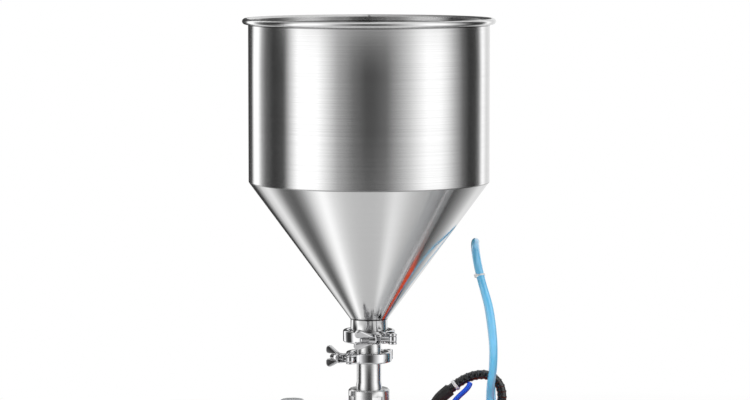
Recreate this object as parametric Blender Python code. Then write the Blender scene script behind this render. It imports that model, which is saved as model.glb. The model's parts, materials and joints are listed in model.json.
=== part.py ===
"""A bench piston filler: a steel hopper, two pipe clamps, a three-way plug valve, a product cylinder
driven by an air cylinder, a shut-off nozzle and the base that carries them.

The hopper's axis is at X = 0 while the pieces are made. One empty then shifts the whole machine, so
that the origin ends under the middle of its box, at the height of the feet. Lengths are in metres.
"""

import math

import bmesh
import bpy
from mathutils import Matrix, Vector
from mathutils.geometry import interpolate_bezier

for old in list(bpy.data.objects):
    bpy.data.objects.remove(old, do_unlink=True)

MM = 0.001
GAP = 0.3 * MM  # between pieces that touch
FIT = 0.3 * MM  # between a shaft and its hole

# Hopper
BARREL_R = 175 * MM
BARREL_H = 232.7 * MM
CONE_H = 200.8 * MM
HOPPER_WALL = 2 * MM
BEAD_R = 4.35 * MM
OUTLET_R = 27 * MM

# Pipe between the hopper and the valve; the nut clamps the liner's collar onto the valve's boss
PIPE_R = 17.75 * MM
PIPE_BORE_R = PIPE_R - 1.75 * MM
LINER_NECK_R = PIPE_R + 1.25 * MM
LINER_R = PIPE_R + 4.05 * MM
BOSS_R = LINER_R + 0.4 * MM
NUT_R = BOSS_R + 7.8 * MM
NUT_H = 24 * MM
NUT_SLOT_W = 16 * MM
NUT_SLOT_ANGLE = math.radians(25)
UPPER_FERRULE_R = OUTLET_R + 5 * MM
LOWER_FERRULE_R = PIPE_R + 7.5 * MM
FLANGE_T = 2 * MM
FERRULE_SLOPE = math.tan(math.radians(20))
GASKET_T = 1.6 * MM
FACE_STAND = GASKET_T / 2 + GAP  # from a clamp's middle plane to the ferrule face

# Valve
VALVE_R = 40 * MM
VALVE_HALF_L = 36 * MM
VALVE_END_T = 4 * MM
PLUG_R = VALVE_R - 12.3 * MM
PORT_R = PIPE_BORE_R - 2 * MM
STEM_R = 10 * MM
VALVE_FLANGE_X = VALVE_R + 24 * MM
OUTLET_BOSS_X = -VALVE_R - 20 * MM
COVER_T = 11 * MM

# Heights above the table
FOOT_H = 22 * MM
BASE_TOP = 170 * MM
MACHINE_Z = BASE_TOP + VALVE_R + 58 * MM  # the line of valve, piston and cylinders
NUT_TOP_Z = MACHINE_Z + VALVE_R + 25.6 * MM
LOWER_CLAMP_Z = NUT_TOP_Z + 47 * MM
UPPER_CLAMP_Z = LOWER_CLAMP_Z + 31 * MM
CONE_FOOT_Z = UPPER_CLAMP_Z + 24.9 * MM
CONE_TOP_Z = CONE_FOOT_Z + CONE_H
RIM_Z = CONE_TOP_Z + BARREL_H

# Rotary actuator
ACTUATOR_Y = (VALVE_HALF_L + 14 * MM, VALVE_HALF_L + 62 * MM)
ACTUATOR_HALF_L = 80 * MM
ACTUATOR_LOW_Z = MACHINE_Z - 40 * MM
ACTUATOR_TOP_Z = MACHINE_Z + 30 * MM
TEETH = 16
MODULE = 1.75 * MM
PRESSURE = math.radians(20)
BACKLASH = 0.5 * MM
RACK_R = 12.6 * MM
RACK_SINK = 22 * MM  # from the stem's axis down to the rack's axis
RACK_X = (-48 * MM, 70 * MM)
RACK_TOOTHED_X = (-20 * MM, 42 * MM)
RACK_HALF_W = 6 * MM

# Pistons' line: each length follows from the stroke
STROKE = 160 * MM
CYLINDER_R = 35 * MM
BORE_R = CYLINDER_R - 3.5 * MM
PISTON_X = VALVE_FLANGE_X + 10 * MM
PISTON_L = 24 * MM
CYLINDER_END_X = PISTON_X + PISTON_L + STROKE + 12 * MM
ROD_R = 10 * MM
COUPLING_R = 16 * MM
COUPLING_X = CYLINDER_END_X + 29 * MM
COUPLING_L = 46 * MM
AIR_HEAD_X = COUPLING_X + COUPLING_L + STROKE + 17 * MM
AIR_HEAD_L = 30 * MM
AIR_HEAD_HALF_W = 30 * MM
AIR_BORE_R = 25 * MM
AIR_BARREL_HALF_W = 28 * MM
AIR_BARREL_L = STROKE + 30 * MM
AIR_PISTON_L = 18 * MM
AIR_ROD_R = 8 * MM
STOP_ROD_R = 6 * MM
WHEEL_R = 30 * MM
WHEEL_END_X = AIR_HEAD_X + 2 * AIR_HEAD_L + AIR_BARREL_L + 52 * MM

# Nozzle
NOZZLE_X = OUTLET_BOSS_X - 52 * MM
NOZZLE_R = 20 * MM
NOZZLE_BORE_R = 13 * MM
NOZZLE_TIP_Z = MACHINE_Z - 118 * MM
NOZZLE_TOP_Z = MACHINE_Z + 16 * MM
TIP_BORE_R = 8.3 * MM
NEEDLE_R = 4 * MM
NOZZLE_PIPE_R = 14 * MM
NOZZLE_PIPE_BORE_R = 12 * MM
NOZZLE_PISTON_R = 13.7 * MM
NOZZLE_HEAD_R = 18 * MM
NOZZLE_HEAD_H = 33 * MM
SPRING_R = 10 * MM
SPRING_WIRE_R = 1.1 * MM
SPRING_TURNS = 3.5

# Base and the controls on its front
BASE_X = (-45 * MM, WHEEL_END_X - 34 * MM)
BASE_HALF_W = 120 * MM
SHEET = 2 * MM
BASE_CORNER = 8 * MM
FOOT_R = 18 * MM
FOOT_STUD_R = 4 * MM
FOOT_INSET = 30 * MM
CONTROL_Z = BASE_TOP - 65 * MM
STOP_X = BASE_X[1] - 60 * MM
START_X = STOP_X - 90 * MM
SELECTOR_X = START_X - 80 * MM
SPEED_X = SELECTOR_X - 80 * MM
SHAFT_R = 5 * MM
BUTTON_R = 11 * MM
BUTTON_TRAVEL = 4 * MM
MUSHROOM_R = 20 * MM
MUSHROOM_SHAFT_R = 8 * MM
BRACKET_HALF_W = 30 * MM

# Control box and regulator
BOX_X = (90 * MM, 300 * MM)
BOX_Y = (CYLINDER_R + 10 * MM, CYLINDER_R + 83 * MM)
BOX_TOP_Z = BASE_TOP + 115 * MM
BOX_WALL = 2.5 * MM
REGULATOR_X = 181 * MM
REGULATOR_W = 36 * MM
REGULATOR_Z = (BASE_TOP - 60 * MM, BASE_TOP - 24 * MM)
ELBOW_X = 216 * MM

# Tubes: radii, then each route's points in millimetres, with heights above the base's top.
# The supply tube's points are for a base that is 240 mm wide.
SUPPLY_R = 6 * MM
SLEEVE_R = 7.5 * MM
SIGNAL_R = 4 * MM
GLAND_R = 9.5 * MM
SUPPLY_ROUTE = [
    (180, 75, 119), (180, 75, 130), (179.9, 74, 143), (181, 68, 162), (183.7, 60, 186),
    (183.9, 50, 217), (181.3, 44, 248.5), (175.9, 40, 281), (166.5, 40, 313), (160.8, 48, 336),
    (157.2, 65, 357.5), (157.2, 84, 366.5), (158.5, 105, 368), (159, 127, 362), (160.5, 145, 349),
    (164.6, 160, 326), (171, 168.5, 298), (179.5, 172, 265), (184.7, 172.5, 232), (187.8, 171, 200),
    (187.3, 168, 171), (185.5, 162, 133), (190, 153, 92), (202, 145, 54), (212.7, 140, 22),
    (216, 138.3, 0), (216, 138.3, -10),
]  # fmt: skip
SLEEVE_ROUTE = [
    (121, 88, 148.8), (125.5, 88, 152.6), (132, 88, 157.7), (140, 88, 162.8), (148, 88, 166.6),
    (156, 88, 169.2), (164, 88, 170.6), (172, 88, 170.8), (179, 88, 169.2), (185.5, 88, 165.6),
    (191, 88, 160.2), (195, 88, 153.6), (197.2, 88, 146.5), (198, 88, 139), (198, 88, 130),
    (198, 88, 117),
]  # fmt: skip
SIGNAL_ROUTE = [
    (150.2, 82.4, 158.6), (149.2, 80.6, 156.2), (147.4, 79, 153.4), (143, 78, 148.4),
    (135.5, 78, 141.5), (129, 78, 134.8), (124.5, 78, 128), (122.4, 78, 122), (122, 78, 117),
]  # fmt: skip
GLAND_ROUTE = [
    (98, 88, 115.3), (98, 88, 118), (98, 88, 121.5), (100.8, 88, 128.2), (106, 88, 135.5),
    (113, 88, 142.1), (120.6, 88, 148.5),
]  # fmt: skip

machine = bpy.data.objects.new("machine", None)
bpy.context.scene.collection.objects.link(machine)
RIM_R = BARREL_R + 2 * BEAD_R
machine.location = ((RIM_R - WHEEL_END_X) / 2, 0, 0)

LOOKS = {
    "steel": ((0.62, 0.63, 0.64), 0.28, 1.0),
    "polished": ((0.75, 0.76, 0.77), 0.12, 1.0),
    "aluminium": ((0.66, 0.67, 0.69), 0.4, 1.0),
    "red_paint": ((0.72, 0.13, 0.03), 0.4, 0.0),
    "red_plastic": ((0.6, 0.02, 0.02), 0.35, 0.0),
    "green_plastic": ((0.03, 0.35, 0.08), 0.35, 0.0),
    "black_plastic": ((0.02, 0.02, 0.022), 0.45, 0.0),
    "rubber": ((0.03, 0.03, 0.03), 0.8, 0.0),
    "seal": ((0.85, 0.85, 0.82), 0.6, 0.0),
    "clear": ((0.75, 0.82, 0.85), 0.1, 0.0),
    "light_blue": ((0.13, 0.55, 0.95), 0.25, 0.0),
    "royal_blue": ((0.01, 0.12, 0.75), 0.3, 0.0),
}


def finish(name, look):
    """A Principled BSDF material of the sub-part's own."""
    colour, roughness, metallic = LOOKS[look]
    material = bpy.data.materials.new(name)
    material.use_nodes = True
    shader = material.node_tree.nodes["Principled BSDF"]
    shader.inputs["Base Color"].default_value = (*colour, 1)
    shader.inputs["Roughness"].default_value = roughness
    shader.inputs["Metallic"].default_value = metallic
    return material


def solid(name, bm, look, parent=machine, origin=None):
    """A named sub-part from a bmesh; origin puts its own origin on a joint's axis."""
    bmesh.ops.recalc_face_normals(bm, faces=bm.faces)
    mesh = bpy.data.meshes.new(name)
    bm.to_mesh(mesh)
    bm.free()
    mesh.shade_smooth()
    mesh.set_sharp_from_angle(angle=math.radians(35))
    obj = bpy.data.objects.new(name, mesh)
    bpy.context.scene.collection.objects.link(obj)
    obj.parent = parent
    if origin:
        mesh.transform(Matrix.Translation(-Vector(origin)))
        obj.location = origin
    if look:
        mesh.materials.append(finish(name, look))
    return obj


def helper(obj, bm, operation):
    """Joins a shape to a sub-part, or cuts it out."""
    tool = solid(obj.name + "_tool", bm, None, obj.parent)
    tool.hide_render = True
    tool.display_type = "WIRE"
    boolean = obj.modifiers.new(operation.lower(), "BOOLEAN")
    boolean.operation = operation
    boolean.solver = "EXACT"
    boolean.object = tool


def join(obj, *shapes):
    for bm in shapes:
        helper(obj, bm, "UNION")


def cut(obj, *shapes):
    for bm in shapes:
        helper(obj, bm, "DIFFERENCE")


TURN_Z_TO = {
    "X": Matrix.Rotation(math.pi / 2, 4, "Y"),
    "Y": Matrix.Rotation(-math.pi / 2, 4, "X"),
    "Z": Matrix.Identity(4),
}


def turned(outline, axis="Z", at=(0, 0, 0), steps=20, start=0.0, sweep=math.tau):
    """Spins a closed outline of (radius, height) about an axis; a part turn gets flat ends."""
    bm = bmesh.new()
    verts = [bm.verts.new((radius, 0, height)) for radius, height in outline]
    pairs = zip(verts, verts[1:] + verts[:1])
    edges = [bm.edges.new(pair) for pair in pairs if max(v.co.x for v in pair) > 0]
    bmesh.ops.rotate(bm, verts=verts, matrix=Matrix.Rotation(start, 3, "Z"))
    whole = sweep == math.tau
    bmesh.ops.spin(bm, geom=verts + edges, axis=(0, 0, 1), angle=sweep, steps=steps, use_merge=whole)
    bmesh.ops.remove_doubles(bm, verts=bm.verts, dist=1e-6)
    if not whole:
        bmesh.ops.holes_fill(bm, edges=[edge for edge in bm.edges if edge.is_boundary])
    bm.transform(Matrix.Translation(at) @ TURN_Z_TO[axis])
    return bm


def rod(radius, low, high, axis="Z", at=(0, 0, 0), steps=20):
    # Its facets start off the axes, so that no edge of two crossing rods coincides
    return turned([(0, low), (radius, low), (radius, high), (0, high)], axis, at, steps, start=1 / steps)


def ring(inner, outer, low, high, axis="Z", at=(0, 0, 0), steps=20):
    return turned([(inner, low), (outer, low), (outer, high), (inner, high)], axis, at, steps)


def hole(radius, low, high, axis="Z", at=(0, 0, 0), steps=20):
    """A cutter whose flats, not its corners, lie at the radius, so that a shaft of that radius fits."""
    return rod(radius / math.cos(math.pi / steps), low, high, axis, at, steps)


def block(x, y, z, rounded=0.0, along=None):
    """A box from its (low, high) pairs, with the edges that run along one axis rounded."""
    bm = bmesh.new()
    low, high = Vector((x[0], y[0], z[0])), Vector((x[1], y[1], z[1]))
    place = Matrix.Translation((low + high) / 2) @ Matrix.Diagonal((*(high - low), 1))
    bmesh.ops.create_cube(bm, size=1, matrix=place)
    if rounded:
        edges = []
        for edge in bm.edges:
            way = (edge.verts[0].co - edge.verts[1].co).normalized()
            if along is None or abs(way[along]) > 0.5:
                edges.append(edge)
        bmesh.ops.bevel(bm, geom=edges, offset=rounded, segments=3, profile=0.5, affect="EDGES", material=-1)
    return bm


def plate(points, grow):
    """A flat outline of 3-D points, extruded by a vector."""
    bm = bmesh.new()
    face = bm.faces.new([bm.verts.new(point) for point in points])
    grown = bmesh.ops.extrude_face_region(bm, geom=[face])
    moved = [item for item in grown["geom"] if isinstance(item, bmesh.types.BMVert)]
    bmesh.ops.translate(bm, verts=moved, vec=grow)
    return bm


def on_base(points, widen=0.0):
    """A route's points in metres; widen moves its far end out with a wider base."""
    whole = len(points) - 3
    route = []
    for number, (x, y, z) in enumerate(points):
        route.append(Vector((x * MM, y * MM + widen * min(1, number / whole), BASE_TOP + z * MM)))
    return route


def smooth_route(knots, per_span):
    """Points on a smooth curve through the route's own points."""
    ends = [knots[0] * 2 - knots[1]] + knots + [knots[-1] * 2 - knots[-2]]
    route = []
    for before, here, there, after in zip(ends, ends[1:], ends[2:], ends[3:]):
        handle_a = here + (there - before) / 6
        handle_b = there - (after - here) / 6
        route += interpolate_bezier(here, handle_a, handle_b, there, per_span + 1)[:-1]
    return route + [knots[-1]]


def tube(name, points, radius, look, per_span=2):
    """A solid round tube along a route in metres."""
    curve = bpy.data.curves.new(name, "CURVE")
    curve.dimensions = "3D"
    curve.bevel_depth = radius
    curve.bevel_resolution = 2
    curve.use_fill_caps = True
    spline = curve.splines.new("POLY")
    route = smooth_route(points, per_span)
    spline.points.add(len(route) - 1)
    for point, place in zip(spline.points, route):
        point.co = (*place, 1)
    curve.materials.append(finish(name, look))
    obj = bpy.data.objects.new(name, curve)
    bpy.context.scene.collection.objects.link(obj)
    obj.parent = machine
    return obj


def make_hopper():
    """Rolled bead, straight barrel, cone, outlet pipe and its ferrule, welded into one."""
    bead_centre_r = BARREL_R + BEAD_R
    half_angle = math.atan2(BARREL_R - OUTLET_R, CONE_H)
    lift = HOPPER_WALL * (1 / math.cos(half_angle) - 1) / math.tan(half_angle)
    face = UPPER_CLAMP_Z + FACE_STAND
    back = face + FLANGE_T
    outline = [
        (OUTLET_R - HOPPER_WALL, face),
        (UPPER_FERRULE_R, face),
        (UPPER_FERRULE_R, back),
        (OUTLET_R, back + (UPPER_FERRULE_R - OUTLET_R) * FERRULE_SLOPE),
        (OUTLET_R, CONE_FOOT_Z),
        (BARREL_R, CONE_TOP_Z),
        (BARREL_R, RIM_Z - BEAD_R / 2),
    ]
    for degrees in range(200, 486, 32):
        angle = math.radians(degrees)
        outline.append((bead_centre_r + BEAD_R * math.cos(angle), RIM_Z + BEAD_R * math.sin(angle)))
    outline += [
        (BARREL_R - HOPPER_WALL, RIM_Z + BEAD_R / 3),
        (BARREL_R - HOPPER_WALL, CONE_TOP_Z + lift),
        (OUTLET_R - HOPPER_WALL, CONE_FOOT_Z + lift),
    ]
    solid("hopper", turned(outline, steps=40), "steel")


def make_pipe():
    """Gaskets, the reducing spool between the clamps, the valve's inlet pipe and its slotted nut."""
    half_gasket = GASKET_T / 2
    for name, plane, inner, outer in (
        ("upper_gasket", UPPER_CLAMP_Z, OUTLET_R - HOPPER_WALL, UPPER_FERRULE_R),
        ("lower_gasket", LOWER_CLAMP_Z, PIPE_BORE_R, LOWER_FERRULE_R),
    ):
        solid(name, ring(inner, outer - GAP, plane - half_gasket, plane + half_gasket), "seal")
    top = UPPER_CLAMP_Z - FACE_STAND
    foot = LOWER_CLAMP_Z + FACE_STAND
    hub_z = top - FLANGE_T - (UPPER_FERRULE_R - OUTLET_R) * FERRULE_SLOPE
    neck_rise = (LOWER_FERRULE_R - PIPE_R) * FERRULE_SLOPE
    spool = [
        (PIPE_BORE_R, foot),
        (LOWER_FERRULE_R, foot),
        (LOWER_FERRULE_R, foot + FLANGE_T),
        (PIPE_R, foot + FLANGE_T + neck_rise),
        (PIPE_R, hub_z - 3 * MM),
        (OUTLET_R, hub_z),
        (UPPER_FERRULE_R, top - FLANGE_T),
        (UPPER_FERRULE_R, top),
        (OUTLET_R - HOPPER_WALL, top),
        (PIPE_BORE_R, hub_z - 0.5 * MM),
    ]
    solid("spool", turned(spool, steps=22), "steel")
    face = LOWER_CLAMP_Z - FACE_STAND
    shoulder = NUT_TOP_Z - 4.2 * MM
    foot = shoulder - 6 * MM
    inlet = [
        (PIPE_BORE_R, foot),
        (LINER_R, foot),
        (LINER_R, shoulder),
        (LINER_NECK_R, shoulder),
        (LINER_NECK_R, NUT_TOP_Z + MM),
        (PIPE_R, NUT_TOP_Z + 10 * MM),
        (PIPE_R, face - FLANGE_T - neck_rise),
        (LOWER_FERRULE_R, face - FLANGE_T),
        (LOWER_FERRULE_R, face),
        (PIPE_BORE_R, face),
    ]
    solid("inlet_pipe", turned(inlet, steps=22), "steel")
    nut_foot = NUT_TOP_Z - NUT_H
    nut_outline = [
        (BOSS_R + FIT, nut_foot),
        (NUT_R, nut_foot),
        (NUT_R, NUT_TOP_Z - 2 * MM),
        (NUT_R - 2 * MM, NUT_TOP_Z),
        (LINER_NECK_R + FIT, NUT_TOP_Z),
        (LINER_NECK_R + FIT, shoulder + GAP),
        (BOSS_R + FIT, shoulder + GAP),
    ]
    nut = solid("union_nut", turned(nut_outline, steps=22), "steel")
    slot_top = nut_foot + NUT_H * 0.6
    for quarter in range(4):
        slot_y = (-NUT_SLOT_W / 2, NUT_SLOT_W / 2)
        slot = block((NUT_R - 3 * MM, NUT_R + 5 * MM), slot_y, (nut_foot - MM, slot_top))
        slot.transform(Matrix.Rotation(NUT_SLOT_ANGLE + quarter * math.pi / 2, 4, "Z"))
        cut(nut, slot)
    return foot - GAP


# Pipe clamps: two hinged halves, closed by a swing bolt and a wing nut
CLAMP_WALL = 1.5 * MM
BOLT_R = 3.8 * MM
EYE_R = 6.2 * MM
EYE_HALF_H = 4 * MM
HINGE_PIN_R = 2.2 * MM
NUT_HUB_R = 7.2 * MM
NUT_HUB_L = 10.5 * MM
WING_T = 7 * MM


def make_clamp(side, plane, ring_r, ring_h, ferrule_r, pivot_x, ear_x, wing_l, wing_turn, turn):
    """The gap faces -Y here; turn then sets the clamp about the pipe. ear_x is the nut's seat."""
    frame = bpy.data.objects.new(side + "_clamp_frame", None)
    bpy.context.scene.collection.objects.link(frame)
    frame.parent = machine
    frame.location = (0, 0, plane)
    frame.rotation_euler = (0, 0, math.radians(turn))
    half_h = ring_h / 2
    bolt_y = ring_r + 9 * MM
    lip_r = ferrule_r - 2.5 * MM
    seat = FACE_STAND + FLANGE_T + GAP
    section = [
        (lip_r, -half_h),
        (ring_r - CLAMP_WALL, -half_h),
        (ring_r, CLAMP_WALL - half_h),
        (ring_r, half_h - CLAMP_WALL),
        (ring_r - CLAMP_WALL, half_h),
        (lip_r, half_h),
        (lip_r, seat + 2.8 * MM * FERRULE_SLOPE),
        (ferrule_r + GAP, seat),
        (ferrule_r + GAP, -seat),
        (lip_r, -seat - 2.8 * MM * FERRULE_SLOPE),
    ]
    ear_t = 8 * MM
    ear_out_y = -bolt_y - 7 * MM
    slot_end_x = ear_x + ear_t - MM
    bolt_end_x = slot_end_x + 6 * MM
    middle_r = (lip_r + ring_r) / 2
    hinge_y = ring_r + 4.5 * MM
    knuckle_r = 5 * MM
    knuckle_h = half_h * 0.36

    # The half that carries the swing bolt, on the +X side
    start = -math.pi / 2 + math.asin(bolt_end_x / middle_r)
    end = math.pi / 2 - math.radians(4)
    half_ring = turned(section, steps=13, start=start, sweep=end - start)
    bolt_half = solid(side + "_clamp_bolt_half", half_ring, "polished", frame)
    cheek_x = (pivot_x - EYE_R, pivot_x + EYE_R)
    ear_in_y = -math.sqrt((ferrule_r + 1.2 * MM) ** 2 - cheek_x[0] ** 2)
    ear = block(cheek_x, (-bolt_y, ear_in_y), (-half_h + MM, half_h - MM))
    nose = rod(EYE_R, -half_h + MM, half_h - MM, at=(pivot_x, -bolt_y, 0), steps=10)
    knuckle = rod(knuckle_r, -knuckle_h, knuckle_h, at=(0, hinge_y, 0), steps=10)
    link = block((0, 7 * MM), (middle_r, hinge_y), (-knuckle_h, knuckle_h))
    join(bolt_half, ear, nose, knuckle, link)
    eye_space = block(
        (pivot_x - 4 * EYE_R, pivot_x + EYE_R + 2 * MM),
        (ear_out_y - 9 * MM, -bolt_y + EYE_R + MM),
        (-EYE_HALF_H - GAP, EYE_HALF_H + GAP),
    )
    cut(bolt_half, eye_space, hole(HINGE_PIN_R + FIT, -half_h, half_h, at=(0, hinge_y, 0), steps=8))
    # The bolt's pin is riveted into the cheeks
    join(bolt_half, rod(2.5 * MM, -half_h + 0.5 * MM, half_h - 0.5 * MM, at=(pivot_x, -bolt_y, 0), steps=8))

    # The half with the slotted ear, on the -X side, with the hinge pin riveted into its knuckles
    start = math.pi / 2 + math.radians(4)
    end = math.tau - math.pi / 2 + math.asin(slot_end_x / middle_r)
    half_ring = turned(section, steps=13, start=start, sweep=end - start)
    slot_half = solid(side + "_clamp_slot_half", half_ring, "polished", frame)
    seat_r = pivot_x - ear_x
    ear_y = (ear_out_y, -math.sqrt(middle_r**2 - max(abs(ear_x), abs(slot_end_x)) ** 2))
    ear = block((ear_x, slot_end_x), ear_y, (-half_h + MM, half_h - MM), 1.5 * MM, along=0)
    join(slot_half, ear)
    # The nut's seat is an arc about the bolt's pin, so the nut swings clear of it
    outside = ring(seat_r, seat_r + 20 * MM, -half_h - MM, half_h + MM, at=(pivot_x, -bolt_y, 0), steps=40)
    spare_y = (-bolt_y - 10 * MM, -ring_r - 0.2 * MM)
    spare = block((ear_x - 22 * MM, ear_x + 4 * MM), spare_y, (-half_h, half_h))
    trim = solid(side + "_clamp_seat_tool", outside, None, frame)
    trim.hide_render = True
    trim.display_type = "WIRE"
    helper(trim, spare, "INTERSECT")
    seat_cut = slot_half.modifiers.new("seat", "BOOLEAN")
    seat_cut.operation = "DIFFERENCE"
    seat_cut.object = trim
    slot = block(
        (ear_x - 4 * MM, slot_end_x + 4 * MM),
        (ear_out_y - MM, -bolt_y + BOLT_R + GAP),
        (-BOLT_R - GAP, BOLT_R + GAP),
    )
    cut(slot_half, slot)
    low_z, high_z = knuckle_h + GAP, half_h - 0.4 * MM
    for low, high in ((low_z, high_z), (-high_z, -low_z)):
        join(slot_half, rod(knuckle_r, low, high, at=(0, hinge_y, 0), steps=10))
        join(slot_half, block((-7 * MM, 0), (middle_r, hinge_y), (low, high)))
    join(slot_half, rod(HINGE_PIN_R, -high_z - 0.3 * MM, high_z + 0.3 * MM, at=(0, hinge_y, 0), steps=8))

    # Swing bolt, with its origin on its pin
    pivot = (pivot_x, -bolt_y, 0)
    bolt_l = pivot_x - ear_x + NUT_HUB_L + 12 * MM
    bolt = solid(
        side + "_clamp_swing_bolt",
        ring(2.5 * MM + FIT, EYE_R - 0.2 * MM, -EYE_HALF_H, EYE_HALF_H, at=pivot, steps=12),
        "polished",
        frame,
        pivot,
    )
    join(bolt, rod(BOLT_R, pivot_x - bolt_l, pivot_x - 4 * MM, "X", (0, -bolt_y, 0), 10))

    # Wing nut, with its origin on the bolt's line
    hub_x = ear_x - GAP
    place = (hub_x, -bolt_y, 0)
    nut = solid(
        side + "_clamp_wing_nut",
        ring(BOLT_R + FIT, NUT_HUB_R, hub_x - NUT_HUB_L, hub_x, "X", (0, -bolt_y, 0), 12),
        "polished",
        frame,
        place,
    )
    inner, outer = NUT_HUB_R - 1.6 * MM, NUT_HUB_R + 6.5 * MM
    tip_x = hub_x - wing_l
    outline = [
        (hub_x - 3 * MM, inner),
        (hub_x - 9 * MM, NUT_HUB_R + MM),
        (tip_x + 10 * MM, outer + 0.5 * MM),
        (tip_x + 6 * MM, outer + 2 * MM),
        (tip_x + 2 * MM, outer + MM),
        (tip_x, outer - 2 * MM),
        (tip_x, outer - 7 * MM),
        (tip_x + 2 * MM, outer - 9.5 * MM),
        (tip_x + 8 * MM, outer - 9.5 * MM),
        (hub_x - NUT_HUB_L, inner - 0.6 * MM),
    ]
    turn_wing = Matrix.Translation(place) @ Matrix.Rotation(math.radians(wing_turn), 4, "X")
    for way in (1, -1):
        wing = plate([(x - hub_x, -WING_T / 2, way * z) for x, z in outline], (0, WING_T, 0))
        wing.transform(turn_wing)
        join(nut, wing)


def make_valve(boss_top):
    axis_at = (0, 0, MACHINE_Z)
    steps = 28
    bore_r = (PLUG_R + FIT) / math.cos(math.pi / steps)
    shell = [
        (bore_r, -VALVE_HALF_L),
        (VALVE_R, -VALVE_HALF_L),
        (VALVE_R, VALVE_HALF_L),
        (STEM_R + 2 * FIT, VALVE_HALF_L),
        (STEM_R + 2 * FIT, VALVE_HALF_L - VALVE_END_T),
        (bore_r, VALVE_HALF_L - VALVE_END_T),
    ]
    body = solid("valve_body", turned(shell, "Y", axis_at, steps), "steel")
    root = VALVE_R * 0.75  # inside the body's wall
    join(
        body,
        rod(BOSS_R, MACHINE_Z + root, boss_top, steps=18),
        rod(BOSS_R, root, VALVE_FLANGE_X - 4 * MM, "X", axis_at, 18),
        rod(CYLINDER_R, VALVE_FLANGE_X - 9 * MM, VALVE_FLANGE_X, "X", axis_at, 22),
        rod(NOZZLE_HEAD_R, OUTLET_BOSS_X, -root, "X", axis_at, 18),
    )
    cut(
        body,
        hole(PIPE_BORE_R, MACHINE_Z + PLUG_R / 2, boss_top + MM, steps=16),
        hole(PIPE_BORE_R, PLUG_R / 2, VALVE_FLANGE_X + MM, "X", axis_at, 16),
        hole(NOZZLE_PIPE_BORE_R, OUTLET_BOSS_X - MM, -PLUG_R / 2, "X", axis_at, 16),
    )
    # Plug and stem: a straight way through and a branch, turned about Y
    plug_l = VALVE_HALF_L - VALVE_END_T - 2 * FIT
    outline = [
        (0, -VALVE_HALF_L + 0.5 * MM),
        (PLUG_R, -VALVE_HALF_L + 0.5 * MM),
        (PLUG_R, plug_l),
        (STEM_R, plug_l),
        (STEM_R, ACTUATOR_Y[1] - 4 * MM),
        (0, ACTUATOR_Y[1] - 4 * MM),
    ]
    plug = solid("valve_plug", turned(outline, "Y", axis_at, steps), "polished", origin=axis_at)
    cut(
        plug,
        hole(PORT_R, MACHINE_Z - VALVE_R, MACHINE_Z + VALVE_R, steps=12),
        hole(PORT_R, 0, VALVE_R, "X", axis_at, 12),
    )
    face = -VALVE_HALF_L - GAP
    cover = [
        (0, face - COVER_T),
        (12 * MM, face - COVER_T),
        (14 * MM, face - 8 * MM),
        (VALVE_R - 5 * MM, face - 8 * MM),
        (VALVE_R - 2 * MM, face - 6 * MM),
        (VALVE_R - 2 * MM, face),
        (0, face),
    ]
    solid("valve_cover", turned(cover, "Y", axis_at, 22), "steel")


def involute(angle):
    return math.tan(angle) - angle


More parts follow.
